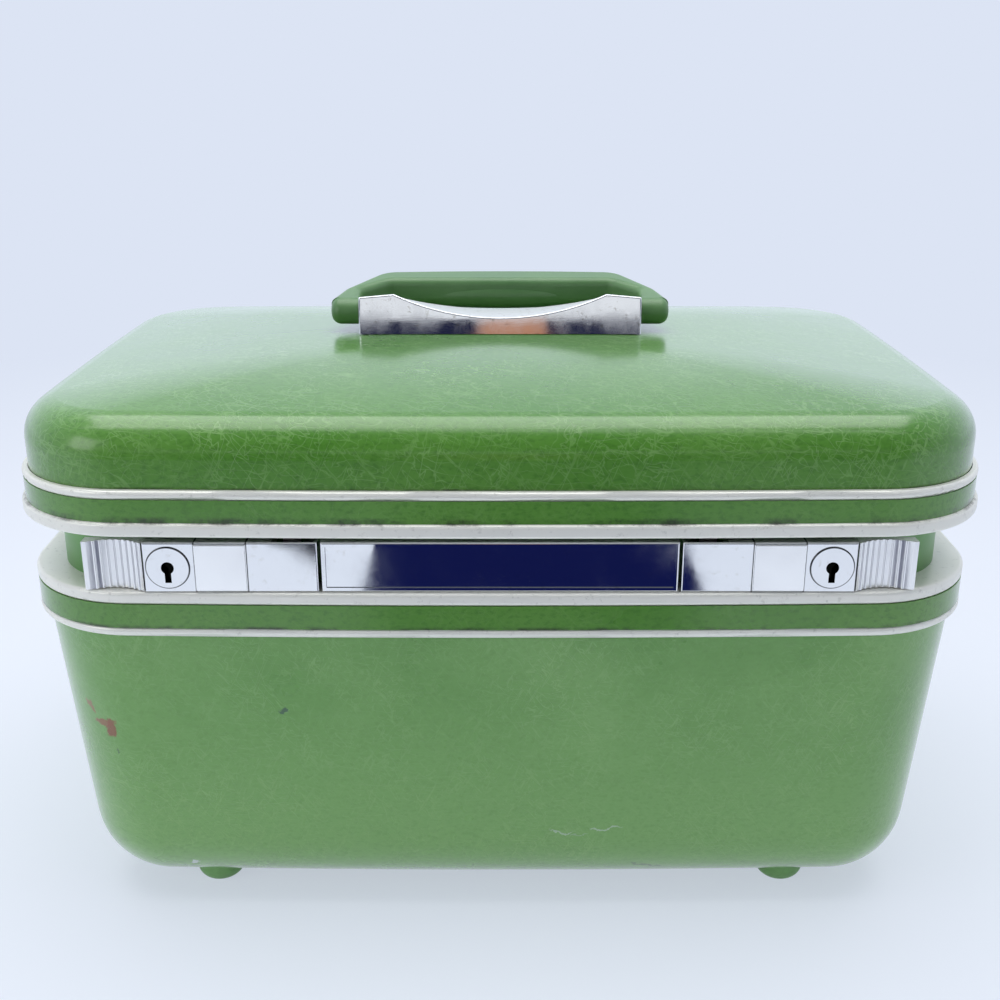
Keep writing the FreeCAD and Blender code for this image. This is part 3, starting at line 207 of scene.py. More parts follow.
@dataclass(frozen=True)
class GrainedVinyl:
    """PVC leathercloth, calendered and embossed: a fine crushed grain with crossing creases, semi-gloss."""

    name: str
    # The lid's greens, painted deeper than the base's to stand in for the shade on the lid's front; the bands
    # share them
    body: str = "#4b8621"
    deep: str = "#336810"
    worn: str = "#6a9d42"
    crease_tone: str = "#9cc67c"
    crease_mm: float = 3.0
    # How far the noise may be from its middle value inside a crease
    crease_width: float = 0.020
    crease_show: float = 0.4
    relief_mm: float = 0.10
    grain_mm: float = 1.0
    grain_stretch: tuple[float, float, float] = (2.2, 1.0, 1.4)
    pit_show: float = 0.5
    pit_span: tuple[float, float] = (0.30, 0.52)
    patch_mm: float = 34.0
    patch_span: tuple[float, float] = (0.36, 0.66)
    crease_least: float = 0.15
    patch_relief_mm: float = 0.4
    cloud_mm: float = 80.0
    cloud_span: tuple[float, float] = (0.34, 0.70)
    cloud_share: float = 0.55
    # Painted light: below this height the colour is painted paler towards the bottom, standing in for light
    # bounced up from the floor
    bounce_lit_below: float = 0.0
    bounce_lit_share: float = 0.9
    ragged: float = 0.008
    ragged_mm: float = 6.0
    coat_roughness: float = 0.19
    under_specular: float = 0.3
    gloss: tuple[float, float] = (0.24, 0.34)
    gloss_span: tuple[float, float] = (0.3, 0.7)
    crease_lays: tuple[tuple[tuple[float, float, float], tuple[float, float, float]], ...] = (
        ((8.0, 24.0, 12.0), (1.0, 2.0, 7.0)),
        ((-12.0, -36.0, 30.0), (1.0, 2.0, 6.0)),
        ((15.0, 8.0, -24.0), (6.0, 2.0, 1.0)),
    )
    dirt_and_shade_lines: tuple[DirtAndShadeLine, ...] = ()
    marks: tuple[Mark, ...] = ()

    def build(self) -> bpy.types.Material:
        """Build the material.

        Returns:
            The finish.
        """
        material = new_material(self.name)
        tree = material.node_tree
        place = add(tree, "ShaderNodeTexCoord").outputs["Object"]
        swirl = add(tree, "ShaderNodeTexNoise", None, {
            "Vector": place, "Scale": per_metre(self.ragged_mm), "Detail": 4.0,
            "Roughness": 0.65}).outputs["Color"]
        stirred = add(tree, "ShaderNodeVectorMath", {"operation": "MULTIPLY_ADD"}, {
            0: swirl, 1: (self.ragged, self.ragged, self.ragged), 2: place}).outputs[0]
        smooth: Any = 1.0
        for turn, stretch in self.crease_lays:
            lay = add(tree, "ShaderNodeMapping", {"vector_type": "TEXTURE"}, {
                "Vector": place, "Scale": stretch,
                "Rotation": tuple(math.radians(angle) for angle in turn)}).outputs[0]
            fold = add(tree, "ShaderNodeTexNoise", None, {
                "Vector": lay, "Scale": per_metre(self.crease_mm), "Detail": 1.0}).outputs["Fac"]
            side = add(tree, "ShaderNodeMath", {"operation": "SUBTRACT"}, {0: fold, 1: 0.5}).outputs[0]
            away = add(tree, "ShaderNodeMath", {"operation": "ABSOLUTE"}, {0: side}).outputs[0]
            clear = add(tree, "ShaderNodeMapRange", None, {
                0: away, 1: 0.0, 2: self.crease_width, 3: 0.0, 4: 1.0}).outputs[0]
            smooth = add(tree, "ShaderNodeMath", {"operation": "MINIMUM"}, {0: smooth, 1: clear}).outputs[0]
        drawn = add(tree, "ShaderNodeMapping", {"vector_type": "TEXTURE"}, {
            "Vector": place, "Scale": self.grain_stretch}).outputs[0]
        grain = add(tree, "ShaderNodeTexNoise", None, {
            "Vector": drawn, "Scale": per_metre(self.grain_mm), "Detail": 3.0,
            "Roughness": 0.6}).outputs["Fac"]
        patch = add(tree, "ShaderNodeTexNoise", None, {
            "Vector": place, "Scale": per_metre(self.patch_mm), "Detail": 4.0,
            "Roughness": 0.65}).outputs["Fac"]
        shown = add(tree, "ShaderNodeMapRange", None, {
            0: patch, 1: self.patch_span[0], 2: self.patch_span[1],
            3: self.crease_least, 4: 1.0}).outputs[0]
        crease = add(tree, "ShaderNodeMath", {"operation": "SUBTRACT"}, {0: 1.0, 1: smooth}).outputs[0]
        crease = add(tree, "ShaderNodeMath", {"operation": "MULTIPLY"}, {0: crease, 1: shown}).outputs[0]
        cloud = add(tree, "ShaderNodeTexNoise", None, {
            "Vector": place, "Scale": per_metre(self.cloud_mm), "Detail": 5.0,
            "Roughness": 0.6}).outputs["Fac"]
        fade = add(tree, "ShaderNodeMapRange", None, {
            0: cloud, 1: self.cloud_span[0], 2: self.cloud_span[1],
            3: 0.0, 4: self.cloud_share}).outputs[0]
        # Painted bounce light: paler towards the bottom
        if self.bounce_lit_below > 0.0:
            height = add(tree, "ShaderNodeSeparateXYZ", None, {0: place}).outputs["Z"]
            low = add(tree, "ShaderNodeMapRange", None, {
                0: height, 1: 0.0, 2: self.bounce_lit_below, 3: self.bounce_lit_share, 4: 0.0}).outputs[0]
            fade = add(tree, "ShaderNodeMath", {"operation": "MAXIMUM"}, {0: fade, 1: low}).outputs[0]
        colour = add(tree, "ShaderNodeMix", {"data_type": "RGBA"}, {
            0: fade, 6: linear(self.body), 7: linear(self.worn)}).outputs[2]
        pit = add(tree, "ShaderNodeMapRange", None, {
            0: grain, 1: self.pit_span[0], 2: self.pit_span[1],
            3: self.pit_show, 4: 0.0}).outputs[0]
        colour = add(tree, "ShaderNodeMix", {"data_type": "RGBA"}, {
            0: pit, 6: colour, 7: linear(self.deep)}).outputs[2]
        tint = add(tree, "ShaderNodeMath", {"operation": "MULTIPLY"}, {
            0: crease, 1: self.crease_show}).outputs[0]
        colour = add(tree, "ShaderNodeMix", {"data_type": "RGBA"}, {
            0: tint, 6: colour, 7: linear(self.crease_tone)}).outputs[2]
        colour = lay_dirt_and_shade(tree, place, colour, self.dirt_and_shade_lines)
        colour = self.add_marks(tree, stirred, colour)
        dull = add(tree, "ShaderNodeMapRange", None, {
            0: cloud, 1: self.gloss_span[0], 2: self.gloss_span[1],
            3: self.gloss[0], 4: self.gloss[1]}).outputs[0]
        lumps = add(tree, "ShaderNodeBump", None, {
            "Height": patch, "Distance": self.patch_relief_mm * MM, "Strength": 0.25}).outputs[0]
        fine = add(tree, "ShaderNodeBump", None, {
            "Height": grain, "Distance": 0.5 * self.relief_mm * MM, "Strength": 0.6,
            "Normal": lumps}).outputs[0]
        sunk = add(tree, "ShaderNodeMath", {"operation": "SUBTRACT"}, {0: 1.0, 1: crease}).outputs[0]
        relief = add(tree, "ShaderNodeBump", None, {
            "Height": sunk, "Distance": self.relief_mm * MM, "Strength": 0.7, "Normal": fine}).outputs[0]
        shader = add(tree, "ShaderNodeBsdfPrincipled", None, {
            "Base Color": colour, "Roughness": dull, "Normal": relief, "IOR": 1.5,
            "Specular IOR Level": self.under_specular, "Coat Weight": 1.0,
            "Coat Roughness": self.coat_roughness})
        add(tree, "ShaderNodeOutputMaterial", None, {"Surface": shader.outputs[0]})
        return material

    def add_marks(self, tree: bpy.types.NodeTree, stirred: bpy.types.NodeSocket,
                  colour: bpy.types.NodeSocket) -> bpy.types.NodeSocket:
        """Lay each mark of use over the colour.

        Args:
            tree: Tree of the finish.
            stirred: Uneven object coordinates, which give the marks ragged edges.
            colour: Colour underneath.

        Returns:
            The colour with its marks.
        """
        for mark in self.marks:
            centre = tuple(MM * c + 0.5 * self.ragged for c in mark.place_mm)
            local = add(tree, "ShaderNodeMapping", {"vector_type": "TEXTURE"}, {
                "Vector": stirred, "Location": centre, "Rotation": (0.0, math.radians(mark.turn_deg), 0.0),
                "Scale": tuple(MM * r for r in mark.radii_mm)}).outputs[0]
            reach = add(tree, "ShaderNodeVectorMath", {"operation": "LENGTH"}, {0: local}).outputs["Value"]
            spot = add(tree, "ShaderNodeMapRange", None, {
                0: reach, 1: mark.soft_from, 2: 1.0, 3: mark.strength, 4: 0.0}).outputs[0]
            colour = add(tree, "ShaderNodeMix", {"data_type": "RGBA"}, {
                0: spot, 6: colour, 7: linear(mark.tone)}).outputs[2]
        return colour


@dataclass(frozen=True)
class MouldedPlastic:
    """Injection-moulded styrene: even colour, a faint mould texture and handled, paler spots."""

    name: str
    body: str
    worn: str
    gloss: tuple[float, float] = (0.30, 0.44)
    gloss_span: tuple[float, float] = (0.3, 0.7)
    cloud_mm: float = 26.0
    cloud_span: tuple[float, float] = (0.34, 0.7)
    rub_mm: float = 2.5
    rub_span: tuple[float, float] = (0.66, 0.74)
    rub_stretch: tuple[float, float, float] = (4.0, 1.0, 1.0)
    rub_share: float = 0.4
    # The real mould texture is about 0.2 mm; it is drawn coarser so that it shows
    texture_mm: float = 0.9
    relief_mm: float = 0.03

    def build(self) -> bpy.types.Material:
        """Build the material.

        Returns:
            The finish.
        """
        material = new_material(self.name)
        tree = material.node_tree
        place = add(tree, "ShaderNodeTexCoord").outputs["Object"]
        cloud = add(tree, "ShaderNodeTexNoise", None, {
            "Vector": place, "Scale": per_metre(self.cloud_mm), "Detail": 5.0,
            "Roughness": 0.6}).outputs["Fac"]
        fade = add(tree, "ShaderNodeMapRange", None, {
            0: cloud, 1: self.cloud_span[0], 2: self.cloud_span[1], 3: 0.0, 4: 1.0}).outputs[0]
        colour = add(tree, "ShaderNodeMix", {"data_type": "RGBA"}, {
            0: fade, 6: linear(self.body), 7: linear(self.worn)}).outputs[2]
        drawn = add(tree, "ShaderNodeMapping", {"vector_type": "TEXTURE"}, {
            "Vector": place, "Scale": self.rub_stretch}).outputs[0]
        rub = add(tree, "ShaderNodeTexNoise", None, {
            "Vector": drawn, "Scale": per_metre(self.rub_mm), "Detail": 5.0, "Roughness": 0.7}).outputs["Fac"]
        scuff = add(tree, "ShaderNodeMapRange", None, {
            0: rub, 1: self.rub_span[0], 2: self.rub_span[1], 3: 0.0, 4: self.rub_share}).outputs[0]
        colour = add(tree, "ShaderNodeMix", {"data_type": "RGBA"}, {
            0: scuff, 6: colour, 7: linear(self.worn)}).outputs[2]
        dull = add(tree, "ShaderNodeMapRange", None, {
            0: cloud, 1: self.gloss_span[0], 2: self.gloss_span[1],
            3: self.gloss[0], 4: self.gloss[1]}).outputs[0]
        texture = add(tree, "ShaderNodeTexNoise", None, {
            "Vector": place, "Scale": per_metre(self.texture_mm), "Detail": 2.0}).outputs["Fac"]
        relief = add(tree, "ShaderNodeBump", None, {
            "Height": texture, "Distance": self.relief_mm * MM, "Strength": 0.6}).outputs[0]
        shader = add(tree, "ShaderNodeBsdfPrincipled", None, {
            "Base Color": colour, "Roughness": dull, "Normal": relief, "IOR": 1.55})
        add(tree, "ShaderNodeOutputMaterial", None, {"Surface": shader.outputs[0]})
        return material


@dataclass(frozen=True)
class BrightMetal:
    """Plated or drawn metal: mirror or satin, with hairlines along its working, smudges and small pits."""

    name: str
    face: str
    tarnish: str
    gloss: tuple[float, float]
    worked: Direction
    # Real hairlines are under 0.1 mm; they are drawn coarser so that they show
    hairline_mm: float = 0.8
    hairline_depth_mm: float = 0.006
    pitting: float = 0.35
    # Lines of dirt, and unbroken lines of painted shade along raised edges
    dirt_and_shade_lines: tuple[DirtAndShadeLine, ...] = ()
    # Painted shade: depth behind which the colour goes dark, standing in for shade in a keyway and in the
    # hole round a plug
    shaded_behind: Optional[float] = None
    ring: Optional[PaintedShadeRing] = None
    metallic: float = 1.0
    frosted_top: bool = False
    smudge_mm: float = 15.0
    smudge_span: tuple[float, float] = (0.36, 0.68)
    pit_mm: float = 2.6
    pit_span: tuple[float, float] = (0.58, 0.72)
    # Colour and fade of that painted shade
    keyhole_shade_tone: str = "#0b0b09"
    keyhole_shade_fade: float = 0.3 * MM
    frost_from: float = 0.6
    frost_full: float = 0.75
    frost_metallic: float = 0.45
    frost_roughness: float = 0.4

    def build(self) -> bpy.types.Material:
        """Build the material.

        Returns:
            The finish.
        """
        material = new_material(self.name)
        tree = material.node_tree
        place = add(tree, "ShaderNodeTexCoord").outputs["Object"]
        drawn = add(tree, "ShaderNodeMapping", {"vector_type": "TEXTURE"}, {
            "Vector": place, "Scale": self.worked.value}).outputs[0]
        hairs = add(tree, "ShaderNodeTexNoise", None, {
            "Vector": drawn, "Scale": per_metre(self.hairline_mm), "Detail": 4.0,
            "Roughness": 0.65}).outputs["Fac"]
        smudge = add(tree, "ShaderNodeTexNoise", None, {
            "Vector": place, "Scale": per_metre(self.smudge_mm), "Detail": 5.0,
            "Roughness": 0.62}).outputs["Fac"]
        pits = add(tree, "ShaderNodeTexNoise", None, {
            "Vector": place, "Scale": per_metre(self.pit_mm), "Detail": 5.0, "Roughness": 0.7}).outputs["Fac"]
        stain = add(tree, "ShaderNodeMapRange", None, {
            0: pits, 1: self.pit_span[0], 2: self.pit_span[1], 3: 0.0, 4: self.pitting}).outputs[0]
        colour = add(tree, "ShaderNodeMix", {"data_type": "RGBA"}, {
            0: stain, 6: linear(self.face), 7: linear(self.tarnish)}).outputs[2]
        colour = lay_dirt_and_shade(tree, place, colour, self.dirt_and_shade_lines)
        # Painted shade: a dark band just inside the plug's edge, for the shade in the gap round it
        if self.ring is not None:
            out = add(tree, "ShaderNodeMapping", {"vector_type": "TEXTURE"}, {
                "Vector": place, "Location": self.ring.centre}).outputs[0]
            flat = add(tree, "ShaderNodeVectorMath", {"operation": "MULTIPLY"}, {
                0: out, 1: (1.0, 0.0, 1.0)}).outputs[0]
            reach = add(tree, "ShaderNodeVectorMath", {"operation": "LENGTH"}, {0: flat}).outputs["Value"]
            rim = add(tree, "ShaderNodeMapRange", None, {
                0: reach, 1: self.ring.radius - 2.0 * self.ring.half_width,
                2: self.ring.radius - self.ring.half_width, 3: 0.0, 4: self.ring.strength}).outputs[0]
            colour = add(tree, "ShaderNodeMix", {"data_type": "RGBA"}, {
                0: rim, 6: colour, 7: linear(self.ring.tone)}).outputs[2]
        # Painted shade: dark behind the given depth, for the shade in the keyway and round the plug's sides
        if self.shaded_behind is not None:
            depth = add(tree, "ShaderNodeSeparateXYZ", None, {0: place}).outputs["Y"]
            inside = add(tree, "ShaderNodeMapRange", None, {
                0: depth, 1: self.shaded_behind, 2: self.shaded_behind + self.keyhole_shade_fade,
                3: 0.0, 4: 1.0}).outputs[0]
            colour = add(tree, "ShaderNodeMix", {"data_type": "RGBA"}, {
                0: inside, 6: colour, 7: linear(self.keyhole_shade_tone)}).outputs[2]
        dull = add(tree, "ShaderNodeMapRange", None, {
            0: smudge, 1: self.smudge_span[0], 2: self.smudge_span[1],
            3: self.gloss[0], 4: self.gloss[1]}).outputs[0]
        metallic: Any = self.metallic
        if self.frosted_top:
            facing = add(tree, "ShaderNodeTexCoord").outputs["Normal"]
            upward = add(tree, "ShaderNodeSeparateXYZ", None, {0: facing}).outputs["Z"]
            metallic = add(tree, "ShaderNodeMapRange", None, {
                0: upward, 1: self.frost_from, 2: self.frost_full,
                3: self.metallic, 4: self.frost_metallic}).outputs[0]
            frost = add(tree, "ShaderNodeMapRange", None, {
                0: upward, 1: self.frost_from, 2: self.frost_full,
                3: 0.0, 4: self.frost_roughness}).outputs[0]
            dull = add(tree, "ShaderNodeMath", {"operation": "MAXIMUM"}, {0: dull, 1: frost}).outputs[0]
        relief = add(tree, "ShaderNodeBump", None, {
            "Height": hairs, "Distance": self.hairline_depth_mm * MM, "Strength": 0.5}).outputs[0]
        shader = add(tree, "ShaderNodeBsdfPrincipled", None, {
            "Base Color": colour, "Roughness": dull, "Normal": relief, "Metallic": metallic})
        add(tree, "ShaderNodeOutputMaterial", None, {"Surface": shader.outputs[0]})
        return material


@dataclass(frozen=True)
class LiningCloth:
    """Rayon twill glued to board: a fine diagonal weave with a soft sheen and faint marks of use."""

    name: str = "rayon_twill"
    warp: str = "#c9bb92"
    weft: str = "#a4976f"
    # The real rib is about 0.5 mm; it is drawn coarser so that it shows
    rib_mm: float = 1.5
    rib_depth_mm: float = 0.12
    thread_share: float = 0.4
    used_tone: str = "#7d7252"
    used_mm: float = 40.0
    used_span: tuple[float, float] = (0.55, 0.8)
    used_share: float = 0.35
    # Turns a rib's pitch into the wave texture's scale
    wave_rate: float = math.pi / 20

    def build(self) -> bpy.types.Material:
        """Build the material.

        Returns:
            The finish.
        """
        material = new_material(self.name)
        tree = material.node_tree
        place = add(tree, "ShaderNodeTexCoord").outputs["Object"]
        ribs = add(tree, "ShaderNodeTexWave", {"bands_direction": "DIAGONAL"}, {
            "Vector": place, "Scale": per_metre(self.rib_mm) * self.wave_rate, "Distortion": 0.5,
            "Detail": 1.0}).outputs["Fac"]
        threads = add(tree, "ShaderNodeTexNoise", None, {
            "Vector": place, "Scale": per_metre(self.rib_mm / 2), "Detail": 3.0}).outputs["Fac"]
        weave = add(tree, "ShaderNodeMix", {"data_type": "FLOAT"}, {
            0: self.thread_share, 2: ribs, 3: threads}).outputs[0]
        colour = add(tree, "ShaderNodeMix", {"data_type": "RGBA"}, {
            0: weave, 6: linear(self.weft), 7: linear(self.warp)}).outputs[2]
        use = add(tree, "ShaderNodeTexNoise", None, {
            "Vector": place, "Scale": per_metre(self.used_mm), "Detail": 5.0,
            "Roughness": 0.6}).outputs["Fac"]
        marks = add(tree, "ShaderNodeMapRange", None, {
            0: use, 1: self.used_span[0], 2: self.used_span[1], 3: 0.0, 4: self.used_share}).outputs[0]
        colour = add(tree, "ShaderNodeMix", {"data_type": "RGBA"}, {
            0: marks, 6: colour, 7: linear(self.used_tone)}).outputs[2]
        relief = add(tree, "ShaderNodeBump", None, {
            "Height": weave, "Distance": self.rib_depth_mm * MM, "Strength": 0.6}).outputs[0]
        shader = add(tree, "ShaderNodeBsdfPrincipled", None, {
            "Base Color": colour, "Roughness": 0.75, "Normal": relief, "Sheen Weight": 0.3})
        add(tree, "ShaderNodeOutputMaterial", None, {"Surface": shader.outputs[0]})
        return material


@dataclass(frozen=True)
class SilveredGlass:
    """Silvered float glass: a clear mirror with slight clouding from age."""

    name: str = "silvered_glass"
    silver: str = "#e9eeed"
    clouded: str = "#a3a79d"
    cloud_mm: float = 30.0
    cloud_span: tuple[float, float] = (0.6, 0.85)
    cloud_share: float = 0.35
    gloss: tuple[float, float] = (0.012, 0.08)
    gloss_span: tuple[float, float] = (0.4, 0.85)

    def build(self) -> bpy.types.Material:
        """Build the material.

        Returns:
            The finish.
        """
        material = new_material(self.name)
        tree = material.node_tree
        place = add(tree, "ShaderNodeTexCoord").outputs["Object"]
        age = add(tree, "ShaderNodeTexNoise", None, {
            "Vector": place, "Scale": per_metre(self.cloud_mm), "Detail": 6.0,
            "Roughness": 0.65}).outputs["Fac"]
        cloud = add(tree, "ShaderNodeMapRange", None, {
            0: age, 1: self.cloud_span[0], 2: self.cloud_span[1], 3: 0.0, 4: self.cloud_share}).outputs[0]
        colour = add(tree, "ShaderNodeMix", {"data_type": "RGBA"}, {
            0: cloud, 6: linear(self.silver), 7: linear(self.clouded)}).outputs[2]
        dull = add(tree, "ShaderNodeMapRange", None, {
            0: age, 1: self.gloss_span[0], 2: self.gloss_span[1],
            3: self.gloss[0], 4: self.gloss[1]}).outputs[0]
        shader = add(tree, "ShaderNodeBsdfPrincipled", None, {
            "Base Color": colour, "Roughness": dull, "Metallic": 1.0})
        add(tree, "ShaderNodeOutputMaterial", None, {"Surface": shader.outputs[0]})
        return material


def dress(nodes: Iterable[str], material: bpy.types.Material) -> None:
    """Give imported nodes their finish.

    Args:
        nodes: Names of the nodes.
        material: The finish.
    """
    for name in nodes:
        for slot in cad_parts[name].material_slots:
            slot.material = material
        LOG.info("%s: %s", name, material.name)


def both(name: str) -> tuple[str, str]:
    """Left and right nodes of a mirrored fitting."""
    return (name + "_left", name + "_right")


@dataclass
class CaseBase:
    """Tub of the base with its frame, band, neck and feet."""

    aluminium: bpy.types.Material
    band_vinyl: bpy.types.Material
    steel: bpy.types.Material
    grime_drop: float = 0.4 * MM
    feet: tuple[str, ...] = ("foot_left_front", "foot_left_back", "foot_right_front", "foot_right_back")
    marks: tuple[Mark, ...] = (
        Mark((-141.5, -98.0, 79.5), (2.6, 9.0, 4.4), "#874526", 0.9, 14.0),
        Mark((-144.5, -97.0, 81.5), (3.6, 9.0, 1.7), "#8f4f30", 0.85, -8.0),
        Mark((-149.5, -92.0, 87.0), (1.3, 9.0, 4.4), "#935c3c", 0.8, -26.0),
        Mark((-77.4, -103.0, 90.0), (1.6, 5.0, 1.8), "#2c5440", 0.85),
        Mark((23.5, -98.5, 36.3), (5.5, 6.0, 0.55), "#b4c9ae", 0.75, 3.0),
        Mark((39.5, -98.5, 37.0), (6.5, 6.0, 0.5), "#b4c9ae", 0.75, -4.0),
        Mark((30.0, -98.5, 34.6), (3.0, 6.0, 0.4), "#9fb998", 0.6),
        Mark((-117.0, -90.0, 18.5), (2.2, 6.0, 1.9), "#dbe2e0", 0.9),
        Mark((56.0, -90.0, 17.0), (7.0, 7.0, 0.9), "#46553a", 0.6, 6.0),
        Mark((-140.0, -95.0, 71.0), (0.9, 6.0, 1.0), "#3d5a45", 0.8),
    )

    def dress(self) -> None:
        """Dress every node of the base."""
        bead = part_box("base_frame")[0][2]
        # Leathercloth, embossed: semi-gloss green, paler where it is handled; painted a paler green than the
        # lid's and painted paler still towards the bottom, standing in for light bounced up from the floor
        vinyl = GrainedVinyl("base_vinyl", body="#559331", deep="#467c22", worn="#8bbb6c", crease_show=0.36,
                             crease_mm=2.2, relief_mm=0.09, pit_show=0.22, bounce_lit_below=bead,
                             dirt_and_shade_lines=(DirtAndShadeLine(bead - self.grime_drop),), marks=self.marks).build()
        dress(("base_shell",), vinyl)
        dress(("base_frame",), self.aluminium)
        dress(("base_band",), self.band_vinyl)
        # Styrene, moulded: even green with a soft gloss
        dress(("base_neck",), MouldedPlastic("neck_styrene", "#5c9448", "#6fa65c").build())
        # Rubber, moulded: even and duller than the vinyl; its green is painted paler, standing in for light
        # bounced up from the floor onto the feet
        dress(self.feet, MouldedPlastic("foot_rubber", "#86ba70", "#92c47e", (0.42, 0.55)).build())
        dress(("foot_rivets",), self.steel)


@dataclass
class CaseLid:
    """Crowned lid with its frame and band, and the hinges that carry it."""

    aluminium: bpy.types.Material
    band_vinyl: bpy.types.Material
    steel: bpy.types.Material

    def dress(self) -> None:
        """Dress every node of the lid and its hinges."""
        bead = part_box("lid_frame")[1][2]
        # Leathercloth, embossed: deep green with pale crossing creases under a semi-gloss coat; the green is
        # painted deeper than the base's, standing in for the shade on the lid's front
        vinyl = GrainedVinyl("lid_vinyl", dirt_and_shade_lines=(DirtAndShadeLine(bead, half_height=0.6 * MM),)).build()
        dress(("lid_shell",), vinyl)
        dress(("lid_frame",), self.aluminium)
        dress(("lid_band",), self.band_vinyl)
        for name in ("hinge_leaf_base", "hinge_leaf_lid", "hinge_pin", "stay_arm", "stay_pin", "stay_stud"):
            dress(both(name), self.steel)


@dataclass
class LatchStrip:
    """Bright strip at the front: centre plate, two latches with locks, and what works them inside."""

    chrome: bpy.types.Material
    steel: bpy.types.Material
    key_depth: float = 0.45 * MM
    slide_travel: float = 8.0 * MM
    # Half height and colour of the painted shade line along each side edge of a satin pad
    pad_edge_shade_half: float = 0.28 * MM
    pad_edge_shade_tone: str = "#34363b"

    def flex_spring(self, name: str) -> None:
        """Stand a copy with its own mesh in for a wave spring, held by the base.

        Args:
            name: Node of the spring.
        """
        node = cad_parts[name]
        spring = bpy.data.objects.new(name + "_flexed", node.data.copy())
        bpy.context.scene.collection.objects.link(spring)
        spring.matrix_world = node.matrix_world.copy()
        for slot in spring.material_slots:
            slot.material = self.steel
        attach(spring, "base")
        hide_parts(name)
        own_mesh(spring)

    def dress(self) -> None:
        """Dress every node of the latches."""
        # Nickel plate, brushed: a soft pale reflection
        satin = BrightMetal("satin_nickel", "#fafbfb", "#d4d4d0", (0.13, 0.18), Direction.ALONG_Z,
                            hairline_mm=0.5, hairline_depth_mm=0.002, pitting=0.0, metallic=0.9).build()
        # Chromium plate on a casting: a mirror dulled by thumbs
        slide = BrightMetal("slide_chrome", "#fafbfc", "#c2c0b6", (0.16, 0.22), Direction.ALONG_Z,
                            hairline_depth_mm=0.0008, pitting=0.15, metallic=0.7).build()
        dress(("centre_plate",), self.chrome)
        dress(both("satin_pad"), satin)
        dress(both("thumb_slide"), slide)
        for plate, pad, plug in zip(both("latch_plate"), both("satin_pad"), both("lock_plug")):
            low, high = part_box(pad)
            # Painted shade: an unbroken dark line along each side edge of the raised satin pad, drawn on the
            # plate
            pad_edge_shades = tuple(DirtAndShadeLine(level, self.pad_edge_shade_half, self.pad_edge_shade_tone, axis="X", broken=False)
                          for level in (low[0], high[0]))
            polished = BrightMetal(plate + "_chrome", CHROME, CHROME_STAIN, (0.03, 0.10), Direction.ALONG_X,
                                   hairline_mm=1.2, hairline_depth_mm=0.002, pitting=0.25, dirt_and_shade_lines=pad_edge_shades)
            dress((plate,), polished.build())
            low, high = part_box(plug)
            centre = tuple(0.5 * (a + b) for a, b in zip(low, high))
            # Painted shade: each plug goes dark behind its front face, in its keyway and round its sides, and
            # gets a dark band at its edge for the shade in the gap
            turned = BrightMetal(plug + "_chrome", CHROME, CHROME_STAIN, (0.04, 0.12), Direction.EVEN,
                                 shaded_behind=low[1] + self.key_depth,
                                 ring=PaintedShadeRing(centre, 0.5 * (high[0] - low[0])))
            dress((plug,), turned.build())
        for name in ("latch_bolt", "latch_spring", "lock_cam", "strike"):
            dress(both(name), self.steel)
        for spring, joint in zip(both("latch_spring"), both("latch_slide")):
            self.flex_spring(spring)


@dataclass
class CarryHandle:
    """Moulded bail on its bright bracket."""

    steel: bpy.types.Material

    def dress(self) -> None:
        """Dress every node of the handle."""
        # Styrene, moulded: greyer than the vinyl, with paler handled spots
        dress(("handle_bail",), MouldedPlastic("handle_styrene", "#557f4b", "#688f5d", (0.30, 0.42)).build())
        # Chromium plate, polished: a clear mirror in front and a frosted top
        bracket = BrightMetal("bracket_chrome", CHROME, "#8f8a7c", (0.03, 0.09), Direction.ALONG_X,
                              hairline_mm=1.2, hairline_depth_mm=0.002, pitting=0.6, frosted_top=True).build()
        dress(("handle_bracket",), bracket)
        dress(("handle_pins", "handle_rivets", "handle_backing_plate"), self.steel)


@dataclass
class Interior:
    """Lining, mirror and lift-out tray."""

    def dress(self) -> None:
        """Dress every node inside the case."""
        # Styrene, moulded: even ivory with a soft gloss
        ivory = MouldedPlastic("ivory_styrene", "#dcd4b8", "#d2c9aa", (0.32, 0.46)).build()
        dress(("base_lining", "lid_lining"), LiningCloth().build())
        dress(("mirror",), SilveredGlass().build())
        dress(("mirror_frame", "tray", "tray_rail_front", "tray_rail_back"), ivory)


@dataclass(frozen=True)
class Card:
    """A card outside the view that only bright and glossy surfaces reflect."""

    name: str
    tone: str
    corners: Outline


@dataclass(frozen=True)
class Lamp:
    """A soft light: where it hangs, the point that it faces, the size of its face and its power in watts."""

    name: str
    place: tuple[float, float, float]
    aim: tuple[float, float, float]
    size: tuple[float, float]
    power: float


def level_card(height: float, outline: Iterable[tuple[float, float]]) -> Outline:
    """Corners of a card that lies level, from its outline in X and Y."""
    return tuple((x, y, height) for x, y in outline)


def upright_card(depth: float, outline: Iterable[tuple[float, float]]) -> Outline:
    """Corners of a card that stands upright, from its outline in X and Z."""
    return tuple((x, depth, z) for x, z in outline)


